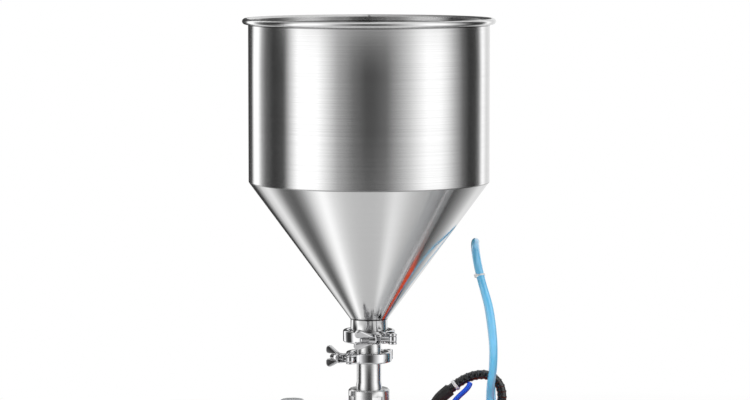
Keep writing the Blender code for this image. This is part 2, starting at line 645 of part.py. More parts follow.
def make_actuator():
    """A rack under a pinion on the valve's stem: the rack slides and the plug turns."""
    axis_at = (0, 0, MACHINE_Z)
    middle_y = sum(ACTUATOR_Y) / 2
    rack_at = (0, middle_y, MACHINE_Z - RACK_SINK)
    tip_r = MODULE * (TEETH / 2 + 1)
    long_x = (-ACTUATOR_HALF_L, ACTUATOR_HALF_L)
    shell = block(long_x, ACTUATOR_Y, (ACTUATOR_LOW_Z, ACTUATOR_TOP_Z), 4 * MM, along=0)
    housing = solid("actuator_housing", shell, "aluminium")
    join(housing, rod(STEM_R + 12 * MM, VALVE_HALF_L + GAP, ACTUATOR_Y[0] + 2 * MM, "Y", axis_at, 18))
    cut(
        housing,
        hole(RACK_R + FIT, -ACTUATOR_HALF_L + 8 * MM, ACTUATOR_HALF_L + MM, "X", rack_at, 18),
        hole(tip_r + 1.3 * MM, ACTUATOR_Y[0] + 5 * MM, ACTUATOR_Y[1] - 5 * MM, "Y", axis_at, 18),
        hole(STEM_R + FIT, 0, ACTUATOR_Y[1] + MM, "Y", axis_at, 12),
    )
    cap_x = ACTUATOR_HALF_L + GAP
    cap = [(0, cap_x), (RACK_R + 5 * MM, cap_x), (RACK_R + 5 * MM, cap_x + 5 * MM), (0, cap_x + 6 * MM)]
    solid("actuator_end_cap", turned(cap, "X", rack_at, 16), "black_plastic")

    pitch_r = MODULE * TEETH / 2
    base_r = pitch_r * math.cos(PRESSURE)
    half_pitch_angle = math.pi / (2 * TEETH) - BACKLASH / (4 * pitch_r)
    radii = [max(base_r, pitch_r - 1.2 * MODULE), pitch_r - MODULE / 3, pitch_r + MODULE / 3, tip_r]
    flank = [half_pitch_angle + involute(PRESSURE) - involute(math.acos(base_r / r)) for r in radii]
    points = []
    root_r = pitch_r - 1.25 * MODULE
    for tooth in range(TEETH):
        middle = math.tau * (tooth + 0.5) / TEETH
        points.append((root_r, middle - flank[0]))
        points += [(r, middle - half) for r, half in zip(radii, flank)]
        points += [(r, middle + half) for r, half in zip(radii[::-1], flank[::-1])]
        points.append((root_r, middle + flank[0]))
    pinion_y = (middle_y - 14 * MM, middle_y + 14 * MM)
    face = [(r * math.cos(a), pinion_y[0], MACHINE_Z + r * math.sin(a)) for r, a in points]
    wheel = plate(face, (0, pinion_y[1] - pinion_y[0], 0))
    pinion = solid("actuator_pinion", wheel, "steel", origin=(0, middle_y, MACHINE_Z))
    cut(pinion, hole(STEM_R + FIT / 2, pinion_y[0] - MM, pinion_y[1] + MM, "Y", axis_at, 12))

    # Rack: a toothed bar between two round ends
    pitch = math.pi * MODULE
    pitch_z = MACHINE_Z - pitch_r
    lean = math.tan(PRESSURE)
    half_t = pitch / 4 - BACKLASH / 4
    count = int((RACK_TOOTHED_X[1] - RACK_TOOTHED_X[0] - pitch) / pitch)
    first = math.ceil((RACK_TOOTHED_X[0] + pitch / 2) / pitch)
    low_x, high_x = RACK_TOOTHED_X[0] - 4 * MM, RACK_TOOTHED_X[1] + 4 * MM
    root_z, tip_z = pitch_z - 1.3 * MODULE, pitch_z + 0.95 * MODULE
    outline = [(low_x, rack_at[2] - 6 * MM), (high_x, rack_at[2] - 6 * MM), (high_x, root_z)]
    for tooth in range(first + count - 1, first - 1, -1):
        middle = tooth * pitch
        outline += [
            (middle + half_t + (pitch_z - root_z) * lean, root_z),
            (middle + half_t - (tip_z - pitch_z) * lean, tip_z),
            (middle - half_t + (tip_z - pitch_z) * lean, tip_z),
            (middle - half_t - (pitch_z - root_z) * lean, root_z),
        ]
    outline.append((low_x, root_z))
    bar = plate([(x, middle_y - RACK_HALF_W, z) for x, z in outline], (0, 2 * RACK_HALF_W, 0))
    rack = solid("actuator_rack", bar, "steel", origin=rack_at)
    join(
        rack,
        rod(RACK_R, RACK_X[0], RACK_TOOTHED_X[0], "X", rack_at),
        rod(RACK_R, RACK_TOOTHED_X[1], RACK_X[1], "X", rack_at),
    )


def make_product_cylinder():
    axis_at = (0, 0, MACHINE_Z)
    front = VALVE_FLANGE_X + GAP
    inside = front + 6 * MM
    barrel = [
        (PIPE_BORE_R, front),
        (CYLINDER_R, front),
        (CYLINDER_R, CYLINDER_END_X),
        (BORE_R, CYLINDER_END_X),
        (BORE_R, inside),
        (PIPE_BORE_R, inside),
    ]
    solid("product_cylinder", turned(barrel, "X", axis_at, 24), "steel")
    end = CYLINDER_END_X
    cap = [
        (ROD_R + FIT, end - 8 * MM),
        (BORE_R - FIT, end - 8 * MM),
        (BORE_R - FIT, end + GAP),
        (CYLINDER_R + 3 * MM, end + GAP),
        (CYLINDER_R + 3 * MM, end + 14 * MM),
        (2 * ROD_R, end + 16 * MM),
        (2 * ROD_R, end + 24 * MM),
        (ROD_R + FIT, end + 24 * MM),
    ]
    solid("product_cylinder_cap", turned(cap, "X", axis_at, 24), "steel")
    back = PISTON_X + PISTON_L
    groove = (PISTON_X + 9 * MM, PISTON_X + 15 * MM)
    groove_r = BORE_R - 3.5 * MM
    piston_r = BORE_R - FIT
    spigot_r = ROD_R - 2 * MM
    socket_x = back - 14 * MM
    piston = [
        (0, PISTON_X),
        (piston_r - 2 * MM, PISTON_X),
        (piston_r, PISTON_X + 2 * MM),
        (piston_r, groove[0] - GAP),
        (groove_r, groove[0] - GAP),
        (groove_r, groove[1] + GAP),
        (piston_r, groove[1] + GAP),
        (piston_r, back),
        (spigot_r + FIT, back),
        (spigot_r + FIT, socket_x),
        (0, socket_x),
    ]
    solid("product_piston", turned(piston, "X", axis_at, 24), "seal", origin=(PISTON_X, 0, MACHINE_Z))
    seal = ring(groove_r + GAP, piston_r + 0.15 * MM, *groove, "X", axis_at, 24)
    solid("piston_seal", seal, "rubber", origin=(PISTON_X, 0, MACHINE_Z))
    seat = COUPLING_X + 19 * MM
    shaft = [
        (0, socket_x + GAP),
        (spigot_r, socket_x + GAP),
        (spigot_r, back + GAP),
        (ROD_R, back + GAP),
        (ROD_R, seat),
        (0, seat),
    ]
    solid("piston_rod", turned(shaft, "X", axis_at, 16), "polished", origin=(PISTON_X, 0, MACHINE_Z))
    coupling_end = COUPLING_X + COUPLING_L
    web = (seat + GAP, seat + 8 * MM)
    coupling = [
        (ROD_R + FIT, COUPLING_X),
        (COUPLING_R, COUPLING_X),
        (COUPLING_R, coupling_end),
        (AIR_ROD_R + FIT, coupling_end),
        (AIR_ROD_R + FIT, web[1]),
        (0, web[1]),
        (0, web[0]),
        (ROD_R + FIT, web[0]),
    ]
    solid("rod_coupling", turned(coupling, "X", axis_at, 16), "steel", origin=(COUPLING_X, 0, MACHINE_Z))
    return web[1] + GAP


def make_air_cylinder(rod_start):
    axis_at = (0, 0, MACHINE_Z)
    across = (-AIR_HEAD_HALF_W, AIR_HEAD_HALF_W)
    height = (MACHINE_Z - AIR_HEAD_HALF_W, MACHINE_Z + AIR_HEAD_HALF_W)
    head_end = AIR_HEAD_X + AIR_HEAD_L
    barrel_x = (head_end + GAP, head_end + AIR_BARREL_L)
    front = solid(
        "air_cylinder_front_head",
        block((AIR_HEAD_X, head_end), across, height, 5 * MM, along=0),
        "aluminium",
    )
    cut(front, hole(AIR_ROD_R + FIT, AIR_HEAD_X - MM, head_end + MM, "X", axis_at, 12))
    half = AIR_BARREL_HALF_W
    barrel = solid(
        "air_cylinder_barrel",
        block(barrel_x, (-half, half), (MACHINE_Z - half, MACHINE_Z + half), 8 * MM, along=0),
        "aluminium",
    )
    cut(barrel, hole(AIR_BORE_R, barrel_x[0] - MM, barrel_x[1] + MM, "X", axis_at, 22))
    rear_x = (barrel_x[1] + GAP, barrel_x[1] + AIR_HEAD_L)
    rear = solid("air_cylinder_rear_head", block(rear_x, across, height, 5 * MM, along=0), "aluminium")
    cut(rear, hole(STOP_ROD_R + FIT, rear_x[0] - MM, rear_x[1] + MM, "X", axis_at, 12))
    # The drive piston starts against the front head and stops STROKE further on, against the stop rod
    piston_x = head_end + 8 * MM
    piston_end = piston_x + AIR_PISTON_L
    shaft = [
        (0, rod_start),
        (AIR_ROD_R, rod_start),
        (AIR_ROD_R, piston_x),
        (AIR_BORE_R - FIT, piston_x),
        (AIR_BORE_R - FIT, piston_end),
        (0, piston_end),
    ]
    solid("air_piston_rod", turned(shaft, "X", axis_at, 18), "polished", origin=(piston_x, 0, MACHINE_Z))
    tip = piston_end + STROKE + 0.5 * MM
    seat = WHEEL_END_X - 12 * MM
    solid("stop_rod", rod(STOP_ROD_R, tip, seat, "X", axis_at, 10), "steel", origin=(tip, 0, MACHINE_Z))
    hub_x = WHEEL_END_X - 28 * MM
    wheel = [
        (STOP_ROD_R + FIT, hub_x),
        (12 * MM, hub_x),
        (12 * MM, hub_x + 9 * MM),
        (WHEEL_R, hub_x + 10 * MM),
        (WHEEL_R, WHEEL_END_X - 4 * MM),
        (WHEEL_R - 4 * MM, WHEEL_END_X),
        (0, WHEEL_END_X),
        (0, seat + GAP),
        (STOP_ROD_R + FIT, seat + GAP),
    ]
    wheel = turned(wheel, "X", axis_at, 22)
    handwheel = solid("handwheel", wheel, "black_plastic", origin=(hub_x, 0, MACHINE_Z))
    for grip in range(8):
        angle = math.tau * grip / 8
        reach = WHEEL_R + 4 * MM
        at = (0, reach * math.cos(angle), MACHINE_Z + reach * math.sin(angle))
        cut(handwheel, hole(7 * MM, hub_x + 5 * MM, WHEEL_END_X + MM, "X", at, 12))


def make_nozzle():
    axis_at = (0, 0, MACHINE_Z)
    down_at = (NOZZLE_X, 0, 0)
    socket_x = NOZZLE_X + NOZZLE_R + 4 * MM
    flange_x = OUTLET_BOSS_X - GAP
    pipe = [
        (NOZZLE_PIPE_BORE_R, socket_x + GAP),
        (NOZZLE_PIPE_R, socket_x + GAP),
        (NOZZLE_PIPE_R, flange_x - 6 * MM),
        (NOZZLE_HEAD_R, flange_x - 6 * MM),
        (NOZZLE_HEAD_R, flange_x),
        (NOZZLE_PIPE_BORE_R, flange_x),
    ]
    solid("nozzle_pipe", turned(pipe, "X", axis_at, 16), "steel")
    tip = NOZZLE_TIP_Z
    top = NOZZLE_TOP_Z
    outline = [
        (TIP_BORE_R, tip),
        (TIP_BORE_R + 3 * MM, tip),
        (TIP_BORE_R + 3 * MM, tip + 12 * MM),
        (NOZZLE_BORE_R + 2.5 * MM, tip + 20 * MM),
        (NOZZLE_BORE_R + 2.5 * MM, MACHINE_Z - 30 * MM),
        (NOZZLE_R, MACHINE_Z - 26 * MM),
        (NOZZLE_R, top),
        (NEEDLE_R + FIT, top),
        (NEEDLE_R + FIT, top - 4 * MM),
        (NOZZLE_BORE_R, top - 4 * MM),
        (NOZZLE_BORE_R, tip + 15 * MM),
        (TIP_BORE_R, tip + 9 * MM),
    ]
    body = solid("nozzle_body", turned(outline, at=down_at, steps=18), "steel")
    inside_wall = NOZZLE_X + NOZZLE_BORE_R + 3 * MM
    join(body, ring(NOZZLE_PIPE_BORE_R, NOZZLE_PIPE_R + 2 * MM, inside_wall, socket_x, "X", axis_at, 16))
    cut(body, hole(NOZZLE_PIPE_BORE_R, NOZZLE_X, socket_x + MM, "X", axis_at, 16))
    foot = top + GAP
    inside = (foot + 2.7 * MM, foot + NOZZLE_HEAD_H - 3.3 * MM)
    head = [
        (NEEDLE_R + FIT, foot),
        (NOZZLE_HEAD_R, foot),
        (NOZZLE_HEAD_R, foot + NOZZLE_HEAD_H - 2 * MM),
        (NOZZLE_HEAD_R - 2 * MM, foot + NOZZLE_HEAD_H),
        (0, foot + NOZZLE_HEAD_H),
        (0, inside[1]),
        (NOZZLE_PISTON_R + FIT, inside[1]),
        (NOZZLE_PISTON_R + FIT, inside[0]),
        (NEEDLE_R + FIT, inside[0]),
    ]
    solid("nozzle_air_cylinder", turned(head, at=down_at, steps=18), "aluminium")
    disc = (inside[0] + 3 * MM, inside[0] + 8 * MM)
    needle = [
        (0, tip + MM),
        (TIP_BORE_R - FIT, tip + 4 * MM),
        (TIP_BORE_R - FIT, tip + 9 * MM),
        (NEEDLE_R, tip + 16 * MM),
        (NEEDLE_R, disc[0]),
        (NOZZLE_PISTON_R, disc[0]),
        (NOZZLE_PISTON_R, disc[1]),
        (0, disc[1]),
    ]
    solid("nozzle_needle", turned(needle, at=down_at, steps=16), "polished", origin=(NOZZLE_X, 0, tip))
    # Spring on the needle's piston
    low, high = disc[1] + 0.4 * MM + SPRING_WIRE_R, inside[1] - 0.4 * MM - SPRING_WIRE_R
    per_turn = 8
    count = int(SPRING_TURNS * per_turn)
    coil = []
    for step in range(count + 1):
        angle = math.tau * step / per_turn
        out = Vector((math.cos(angle), math.sin(angle), 0)) * SPRING_R
        coil.append(Vector((NOZZLE_X, 0, low + (high - low) * step / count)) + out)
    spring = tube("needle_spring", coil, SPRING_WIRE_R, "steel", per_span=1)
    spring.data.bevel_resolution = 1


def make_base():
    inner_x = (BASE_X[0] + SHEET, BASE_X[1] - SHEET)
    inner_w = BASE_HALF_W - SHEET
    cabinet_foot = FOOT_H + SHEET + 3 * GAP
    cabinet = solid(
        "base_cabinet",
        block(BASE_X, (-BASE_HALF_W, BASE_HALF_W), (cabinet_foot, BASE_TOP), BASE_CORNER, along=2),
        "steel",
    )
    inside = (FOOT_H, BASE_TOP - SHEET)
    cut(cabinet, block(inner_x, (-inner_w, inner_w), inside, BASE_CORNER - SHEET, along=2))
    plate_z = (FOOT_H + GAP, FOOT_H + GAP + SHEET)
    sheet = block(BASE_X, (-BASE_HALF_W, BASE_HALF_W), plate_z, BASE_CORNER, along=2)
    plate = solid("base_plate", sheet, "steel")
    number = 0
    for x in (BASE_X[0] + FOOT_INSET, BASE_X[1] - FOOT_INSET):
        for y in (-BASE_HALF_W + FOOT_INSET, BASE_HALF_W - FOOT_INSET):
            number += 1
            foot = [
                (0, 0),
                (FOOT_R, 0),
                (FOOT_R, 8 * MM),
                (FOOT_R - 6 * MM, FOOT_H),
                (FOOT_STUD_R, FOOT_H),
                (FOOT_STUD_R, FOOT_H + 14 * MM),
                (0, FOOT_H + 14 * MM),
            ]
            solid(f"foot_{number}", turned(foot, at=(x, y, 0), steps=12), "rubber")
            cut(plate, hole(FOOT_STUD_R + FIT, 0, 2 * FOOT_H, at=(x, y, 0), steps=10))
    return cabinet


def make_controls(cabinet):
    """Start button, mushroom stop, selector and speed dial, each on a shaft through the front."""
    face = -BASE_HALF_W
    back = face + 12 * MM
    bezels = (
        (START_X, BUTTON_R + 0.4 * MM, BUTTON_R + 4 * MM, 7 * MM),
        (STOP_X, MUSHROOM_SHAFT_R + 0.4 * MM, MUSHROOM_R - 3 * MM, 7 * MM),
        (SELECTOR_X, SHAFT_R + MM, 14 * MM, 3 * MM),
    )
    for x, inner, outer, proud in bezels:
        join(cabinet, ring(inner, outer, face - proud, face + MM, "Y", (x, 0, CONTROL_Z), 16))
    for x in (START_X, STOP_X, SELECTOR_X, SPEED_X):
        radius = MUSHROOM_SHAFT_R if x == STOP_X else SHAFT_R
        cut(cabinet, hole(radius + FIT, face - MM, face + 2 * SHEET, "Y", (x, 0, CONTROL_Z), 12))

    def control(name, x, outline, look, front):
        return solid(name, turned(outline, "Y", (x, 0, CONTROL_Z), 16), look, origin=(x, front, CONTROL_Z))

    under = face - BUTTON_TRAVEL - GAP
    button = [
        (0, under - 7 * MM),
        (BUTTON_R - MM, under - 7 * MM),
        (BUTTON_R, under - 6 * MM),
        (BUTTON_R, under),
        (SHAFT_R, under),
        (SHAFT_R, back),
        (0, back),
    ]
    control("start_button", START_X, button, "green_plastic", under)
    mushroom = [
        (0, face - 32 * MM),
        (MUSHROOM_R - 6 * MM, face - 30 * MM),
        (MUSHROOM_R, face - 25 * MM),
        (MUSHROOM_R, face - 21 * MM),
        (MUSHROOM_R - 8 * MM, face - 15 * MM),
        (MUSHROOM_SHAFT_R, face - 14 * MM),
        (MUSHROOM_SHAFT_R, back),
        (0, back),
    ]
    control("emergency_stop", STOP_X, mushroom, "red_plastic", face)
    knob_back = face - 3 * MM - GAP
    knob = [
        (0, knob_back - 7 * MM),
        (12 * MM, knob_back - 7 * MM),
        (12.5 * MM, knob_back),
        (SHAFT_R, knob_back),
        (SHAFT_R, back),
        (0, back),
    ]
    grip_x = (SELECTOR_X - 3 * MM, SELECTOR_X + 3 * MM)
    grip_z = (CONTROL_Z - 12 * MM, CONTROL_Z + 12 * MM)
    selector = control("selector_knob", SELECTOR_X, knob, "black_plastic", face)
    join(selector, block(grip_x, (knob_back - 15 * MM, knob_back - 5 * MM), grip_z))
    dial_back = face - GAP
    dial = [
        (0, dial_back - 18 * MM),
        (12 * MM, dial_back - 18 * MM),
        (13 * MM, dial_back - 16 * MM),
        (14 * MM, dial_back - 3 * MM),
        (16 * MM, dial_back - 2 * MM),
        (16 * MM, dial_back),
        (SHAFT_R, dial_back),
        (SHAFT_R, back),
        (0, back),
    ]
    mark_x = (SPEED_X - 0.8 * MM, SPEED_X + 0.8 * MM)
    speed = control("speed_knob", SPEED_X, dial, "black_plastic", face)
    cut(speed, block(mark_x, (dial_back - 20 * MM, dial_back - 16.5 * MM), (CONTROL_Z, CONTROL_Z + 15 * MM)))


def make_brackets():
    """Saddles that carry the valve and the two cylinders."""
    floor = BASE_TOP + GAP
    axis_at = (0, 0, MACHINE_Z)
    half_w = BRACKET_HALF_W
    across = (-half_w, half_w)
    valve = solid("valve_bracket", block((-26 * MM, 26 * MM), across, (floor, MACHINE_Z - 20 * MM)), "steel")
    cut(valve, hole(VALVE_R + GAP, -half_w - MM, half_w + MM, "Y", axis_at, 28))
    x = (CYLINDER_END_X - 34 * MM, CYLINDER_END_X - 12 * MM)
    product = solid("product_cylinder_bracket", block(x, across, (floor, MACHINE_Z - 12 * MM)), "steel")
    cut(product, hole(CYLINDER_R + GAP, x[0] - MM, x[1] + MM, "X", axis_at, 24))
    x = (AIR_HEAD_X + 2 * MM, AIR_HEAD_X + 2 * AIR_HEAD_L + AIR_BARREL_L - 2 * MM)
    under_head = MACHINE_Z - AIR_HEAD_HALF_W
    air = solid("air_cylinder_bracket", block(x, across, (floor, under_head - GAP)), "steel")
    for side in (-1, 1):
        groove_y = sorted((side * 12 * MM, side * 45 * MM))
        cut(air, block((x[0] - MM, x[1] + MM), groove_y, (floor + 8 * MM, under_head - 10 * MM)))


def make_control_box():
    """The painted box behind the cylinder, open below, with collars on its lid for the tubes."""
    floor = BASE_TOP + GAP
    top = BOX_TOP_Z
    box = solid("control_box", block(BOX_X, BOX_Y, (floor, top), 6 * MM, along=2), "red_paint")
    sleeve_at = on_base(SLEEVE_ROUTE)[-1] * Vector((1, 1, 0))
    signal_at = on_base(SIGNAL_ROUTE)[-1] * Vector((1, 1, 0))
    join(
        box,
        rod(SLEEVE_R + 3 * MM, top - MM, top + 12 * MM, at=sleeve_at, steps=12),
        rod(SIGNAL_R + 2.5 * MM, top - MM, top + 6 * MM, at=signal_at, steps=10),
    )
    inner_x = (BOX_X[0] + BOX_WALL, BOX_X[1] - BOX_WALL)
    inner_y = (BOX_Y[0] + BOX_WALL, BOX_Y[1] - BOX_WALL)
    below_lid = top - 2 * BOX_WALL
    cut(
        box,
        block(inner_x, inner_y, (floor - MM, top - BOX_WALL), 4 * MM, along=2),
        hole(SLEEVE_R + 0.4 * MM, below_lid, top + 13 * MM, at=sleeve_at, steps=12),
        hole(SIGNAL_R + 0.4 * MM, below_lid, top + 7 * MM, at=signal_at, steps=10),
    )
    fitting_at = on_base(SUPPLY_ROUTE)[0] * Vector((1, 1, 0))
    bottom = top + GAP
    inner = SUPPLY_R + 0.3 * MM
    fitting = [
        (0, bottom),
        (SUPPLY_R + 4 * MM, bottom),
        (SUPPLY_R + 4 * MM, bottom + 8 * MM),
        (SUPPLY_R + 3 * MM, bottom + 9 * MM),
        (SUPPLY_R + 3 * MM, bottom + 14 * MM),
        (SUPPLY_R + 2 * MM, bottom + 16 * MM),
        (inner, bottom + 16 * MM),
        (inner, bottom + 3 * MM),
        (0, bottom + 3 * MM),
    ]
    solid("tube_fitting", turned(fitting, at=fitting_at, steps=12), "polished")


def make_regulator():
    """Air regulator with its bowl, on the back of the base."""
    half = REGULATOR_W / 2
    y0 = BASE_HALF_W + GAP
    middle_y = y0 + half
    low, high = REGULATOR_Z
    low_x, high_x = REGULATOR_X - half, REGULATOR_X + half
    shell = block((low_x, high_x), (y0, y0 + REGULATOR_W), REGULATOR_Z, 3 * MM, along=2)
    body = solid("regulator_body", shell, "aluminium")
    port_z = (low + high) / 2
    port_at = (0, middle_y, port_z)
    elbow_at = (ELBOW_X, middle_y, 0)
    join(
        body,
        rod(9 * MM, low_x - 10 * MM, low_x + MM, "X", port_at, 12),
        rod(8 * MM, high_x - MM, ELBOW_X, "X", port_at, 12),
        rod(SUPPLY_R + 3 * MM, port_z - 8 * MM, high + 22 * MM, at=elbow_at, steps=12),
    )
    stem_r = 4 * MM
    at = (REGULATOR_X, middle_y, 0)
    cut(
        body,
        hole(SUPPLY_R + 0.4 * MM, high + 10 * MM, high + 23 * MM, at=elbow_at, steps=12),
        hole(stem_r, high - 6 * MM, high + MM, at=at, steps=10),
    )
    top = low - GAP
    bowl = [
        (0, top - 48 * MM),
        (8 * MM, top - 46 * MM),
        (13 * MM, top - 38 * MM),
        (15 * MM, top - 6 * MM),
        (16 * MM, top),
        (12.5 * MM, top),
        (12.5 * MM, top - 8 * MM),
        (11 * MM, top - 36 * MM),
        (0, top - 42 * MM),
    ]
    solid("regulator_bowl", turned(bowl, at=at, steps=16), "clear")
    foot = high + GAP
    knob = [
        (0, foot - 5 * MM),
        (stem_r - FIT, foot - 5 * MM),
        (stem_r - FIT, foot),
        (14 * MM, foot),
        (14 * MM, foot + 16 * MM),
        (12 * MM, foot + 24 * MM),
        (0, foot + 25 * MM),
    ]
    knob = turned(knob, at=at, steps=16)
    solid("regulator_knob", knob, "black_plastic", origin=(REGULATOR_X, middle_y, foot))


def make_tubes():
    supply = on_base(SUPPLY_ROUTE, widen=BASE_HALF_W - 120 * MM)
    tube("air_supply_tube", supply, SUPPLY_R, "light_blue")
    tube("cable_sleeve", on_base(SLEEVE_ROUTE), SLEEVE_R, "black_plastic", per_span=1)
    tube("signal_tube", on_base(SIGNAL_ROUTE), SIGNAL_R, "royal_blue", per_span=1)
    tube("sleeve_gland", on_base(GLAND_ROUTE), GLAND_R, "rubber")


make_hopper()
make_valve(make_pipe())
make_clamp(
    "upper", UPPER_CLAMP_Z, UPPER_FERRULE_R + 6 * MM, 17.5 * MM, UPPER_FERRULE_R,
    pivot_x=25 * MM, ear_x=0, wing_l=31 * MM, wing_turn=20, turn=12,
)  # fmt: skip
make_clamp(
    "lower", LOWER_CLAMP_Z, LOWER_FERRULE_R + 8.25 * MM, 15 * MM, LOWER_FERRULE_R,
    pivot_x=10 * MM, ear_x=-12 * MM, wing_l=32 * MM, wing_turn=0, turn=-52,
)  # fmt: skip
make_actuator()
make_air_cylinder(make_product_cylinder())
make_nozzle()
make_controls(make_base())
make_brackets()
make_control_box()
make_regulator()
make_tubes()
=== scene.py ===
# %% [markdown]
# # The looks of a bench piston filler
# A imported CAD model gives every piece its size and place. This script gives the pieces their
# finish: it makes the smooth round parts again with more facets, eases the edges of the rest,
# and gives each one a procedural material. Lengths are in metres, and +Z is up.

# %% Load the frame
import json
import math
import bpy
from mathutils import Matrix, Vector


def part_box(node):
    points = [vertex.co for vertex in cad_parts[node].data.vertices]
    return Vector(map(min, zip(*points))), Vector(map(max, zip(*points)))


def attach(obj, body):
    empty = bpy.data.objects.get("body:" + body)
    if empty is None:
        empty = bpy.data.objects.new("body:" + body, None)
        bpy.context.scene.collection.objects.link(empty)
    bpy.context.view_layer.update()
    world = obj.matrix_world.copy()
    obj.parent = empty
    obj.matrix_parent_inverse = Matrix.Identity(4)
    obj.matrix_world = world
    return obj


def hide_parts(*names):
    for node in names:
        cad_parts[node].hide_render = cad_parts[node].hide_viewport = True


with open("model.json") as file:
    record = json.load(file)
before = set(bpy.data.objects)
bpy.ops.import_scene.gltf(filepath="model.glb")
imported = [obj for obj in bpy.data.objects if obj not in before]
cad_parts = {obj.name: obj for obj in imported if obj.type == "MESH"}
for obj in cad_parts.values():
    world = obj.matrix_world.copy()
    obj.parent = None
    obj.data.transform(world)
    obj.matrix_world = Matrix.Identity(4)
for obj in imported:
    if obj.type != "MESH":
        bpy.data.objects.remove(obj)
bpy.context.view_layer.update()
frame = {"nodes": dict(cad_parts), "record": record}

from types import SimpleNamespace

import bmesh
import bpy
from mathutils import Matrix, Vector
from mathutils.geometry import interpolate_bezier

MM = 0.001
SAME_SPOT = 1e-6
RIDES = {node: body for body, nodes in frame["record"]["behaviour"]["bodies"].items() for node in nodes}

# %% [markdown]
# The pieces are made with the hopper's axis at X = 0, which is easy to think in, and each one is
# moved by AXIS_X when it is done. The rim and the pistons' line are the two heights that matter,
# and the hopper's barrel and cone hang down from the rim.

# %% Reference lines
hopper_low, hopper_high = (Vector(corner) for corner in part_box("hopper"))
AXIS_X = (hopper_low.x + hopper_high.x) / 2
RIM_R = (hopper_high.x - hopper_low.x) / 2
BEAD_R = 4.35 * MM
RIM_Z = hopper_high.z - BEAD_R
BARREL_H = 232.7 * MM
CONE_H = 200.8 * MM
KNEE_Z = RIM_Z - BARREL_H
FOOT_Z = KNEE_Z - CONE_H
LINE_Z = 268 * MM
print(f"hopper axis at x {AXIS_X:.4f}, rim at z {RIM_Z:.4f}")

# %% [markdown]
# ## Camera
# A long lens from far away flattens the rim to a thin ellipse. The camera stands a little above
# the rim and looks slightly down, so that the near edge of the bead hides the inside.

# %% Camera
EYE_DISTANCE = 4.58
EYE_ABOVE_RIM = 0.149
AIM_BELOW_RIM = 0.260
SIDE_STEP = 8.7 * MM
LENS = 151.7
camera_data = bpy.data.cameras.new("camera")
camera_data.sensor_width = 36
camera_data.lens = LENS
camera = bpy.data.objects.new("camera", camera_data)
bpy.context.scene.collection.objects.link(camera)
camera.location = (AXIS_X + SIDE_STEP, -EYE_DISTANCE, RIM_Z + EYE_ABOVE_RIM)
pitch = math.atan2(EYE_ABOVE_RIM + AIM_BELOW_RIM, EYE_DISTANCE)
camera.rotation_euler = (math.pi / 2 - pitch, 0, 0)
bpy.context.scene.camera = camera
bpy.context.scene.view_settings.view_transform = "Standard"
print(f"camera pitched {math.degrees(pitch):.2f} degrees down")

# %% [markdown]
# ## Node trees
# A material is a small graph. This class adds a node and wires it in one call, so that each
# material below reads as a list of what feeds what.


# %% A helper for node trees
class Graph:
    def __init__(self, tree):
        self.tree = tree
        self.tree.nodes.clear()

    def add(self, kind, settings=None, **inputs):
        """A node: settings are its attributes, inputs are values or sockets, by name or as i0, i1."""
        node = self.tree.nodes.new(kind)
        for name, value in (settings or {}).items():
            setattr(node, name, value)
        for name, value in inputs.items():
            key = int(name[1:]) if name[0] == "i" and name[1:].isdigit() else name.replace("_", " ")
            if isinstance(value, bpy.types.NodeSocket):
                self.tree.links.new(value, node.inputs[key])
            else:
                node.inputs[key].default_value = value
        return node

    def math(self, operation, a, b=0.0):
        return self.add("ShaderNodeMath", {"operation": operation}, i0=a, i1=b).outputs[0]

    def spread(self, value, low, high, to_low, to_high):
        """Maps a value from one span to another, clamped."""
        return self.add(
            "ShaderNodeMapRange", Value=value, From_Min=low, From_Max=high, To_Min=to_low, To_Max=to_high
        ).outputs[0]

    def mix(self, factor, a, b):
        """A colour between two colours."""
        a, b = ((*c, 1) if isinstance(c, tuple) else c for c in (a, b))
        return self.add("ShaderNodeMix", {"data_type": "RGBA"}, Factor=factor, i6=a, i7=b).outputs[2]

    def line_at(self, value, mark, core, edge, depth=1.0):
        """A soft line where a value is near a mark: full within the core, gone at the edge."""
        off = self.math("ABSOLUTE", self.math("SUBTRACT", value, mark))
        return self.spread(off, core, edge, depth, 0.0)

    def ramp(self, value, stops):
        """A grey ramp from (position, grey) stops."""
        node = self.add("ShaderNodeValToRGB", i0=value)
        elements = node.color_ramp.elements
        while len(elements) < len(stops):
            elements.new(1.0)
        for element, (place, grey) in zip(elements, stops):
            element.position = place
            element.color = (grey, grey, grey, 1)
        return node.outputs["Color"]

    def where(self):
        return self.add("ShaderNodeTexCoord").outputs["Object"]

    def noise(self, stretch, detail=2.0, roughness=0.5):
        """Noise with its own scale along each axis, in features per metre."""
        placed = self.add("ShaderNodeMapping", Vector=self.where(), Scale=stretch).outputs[0]
        noise = self.add("ShaderNodeTexNoise", Vector=placed, Scale=1.0, Detail=detail, Roughness=roughness)
        return noise.outputs[0]

    def bump(self, height, distance, strength=0.5, **more):
        bump = self.add("ShaderNodeBump", Height=height, Distance=distance, Strength=strength, **more)
        return bump.outputs[0]

    def surface(self, **inputs):
        shader = self.add("ShaderNodeBsdfPrincipled", **inputs)
        self.add("ShaderNodeOutputMaterial", Surface=shader.outputs[0])


def new_material(name):
    material = bpy.data.materials.new(name)
    material.use_nodes = True
    return material, Graph(material.node_tree)


# %% [markdown]
# ## Stage and light
# Polished steel has hardly any colour of its own: it shows the room. So the room does the work.
# Its brightness changes with the compass direction, like tall soft boxes and black cards round
# a product table, and on an upright cylinder each of them becomes one upright band. Low down
# a second set of cards is paler, so the cone, which looks downwards, is calmer than the barrel.

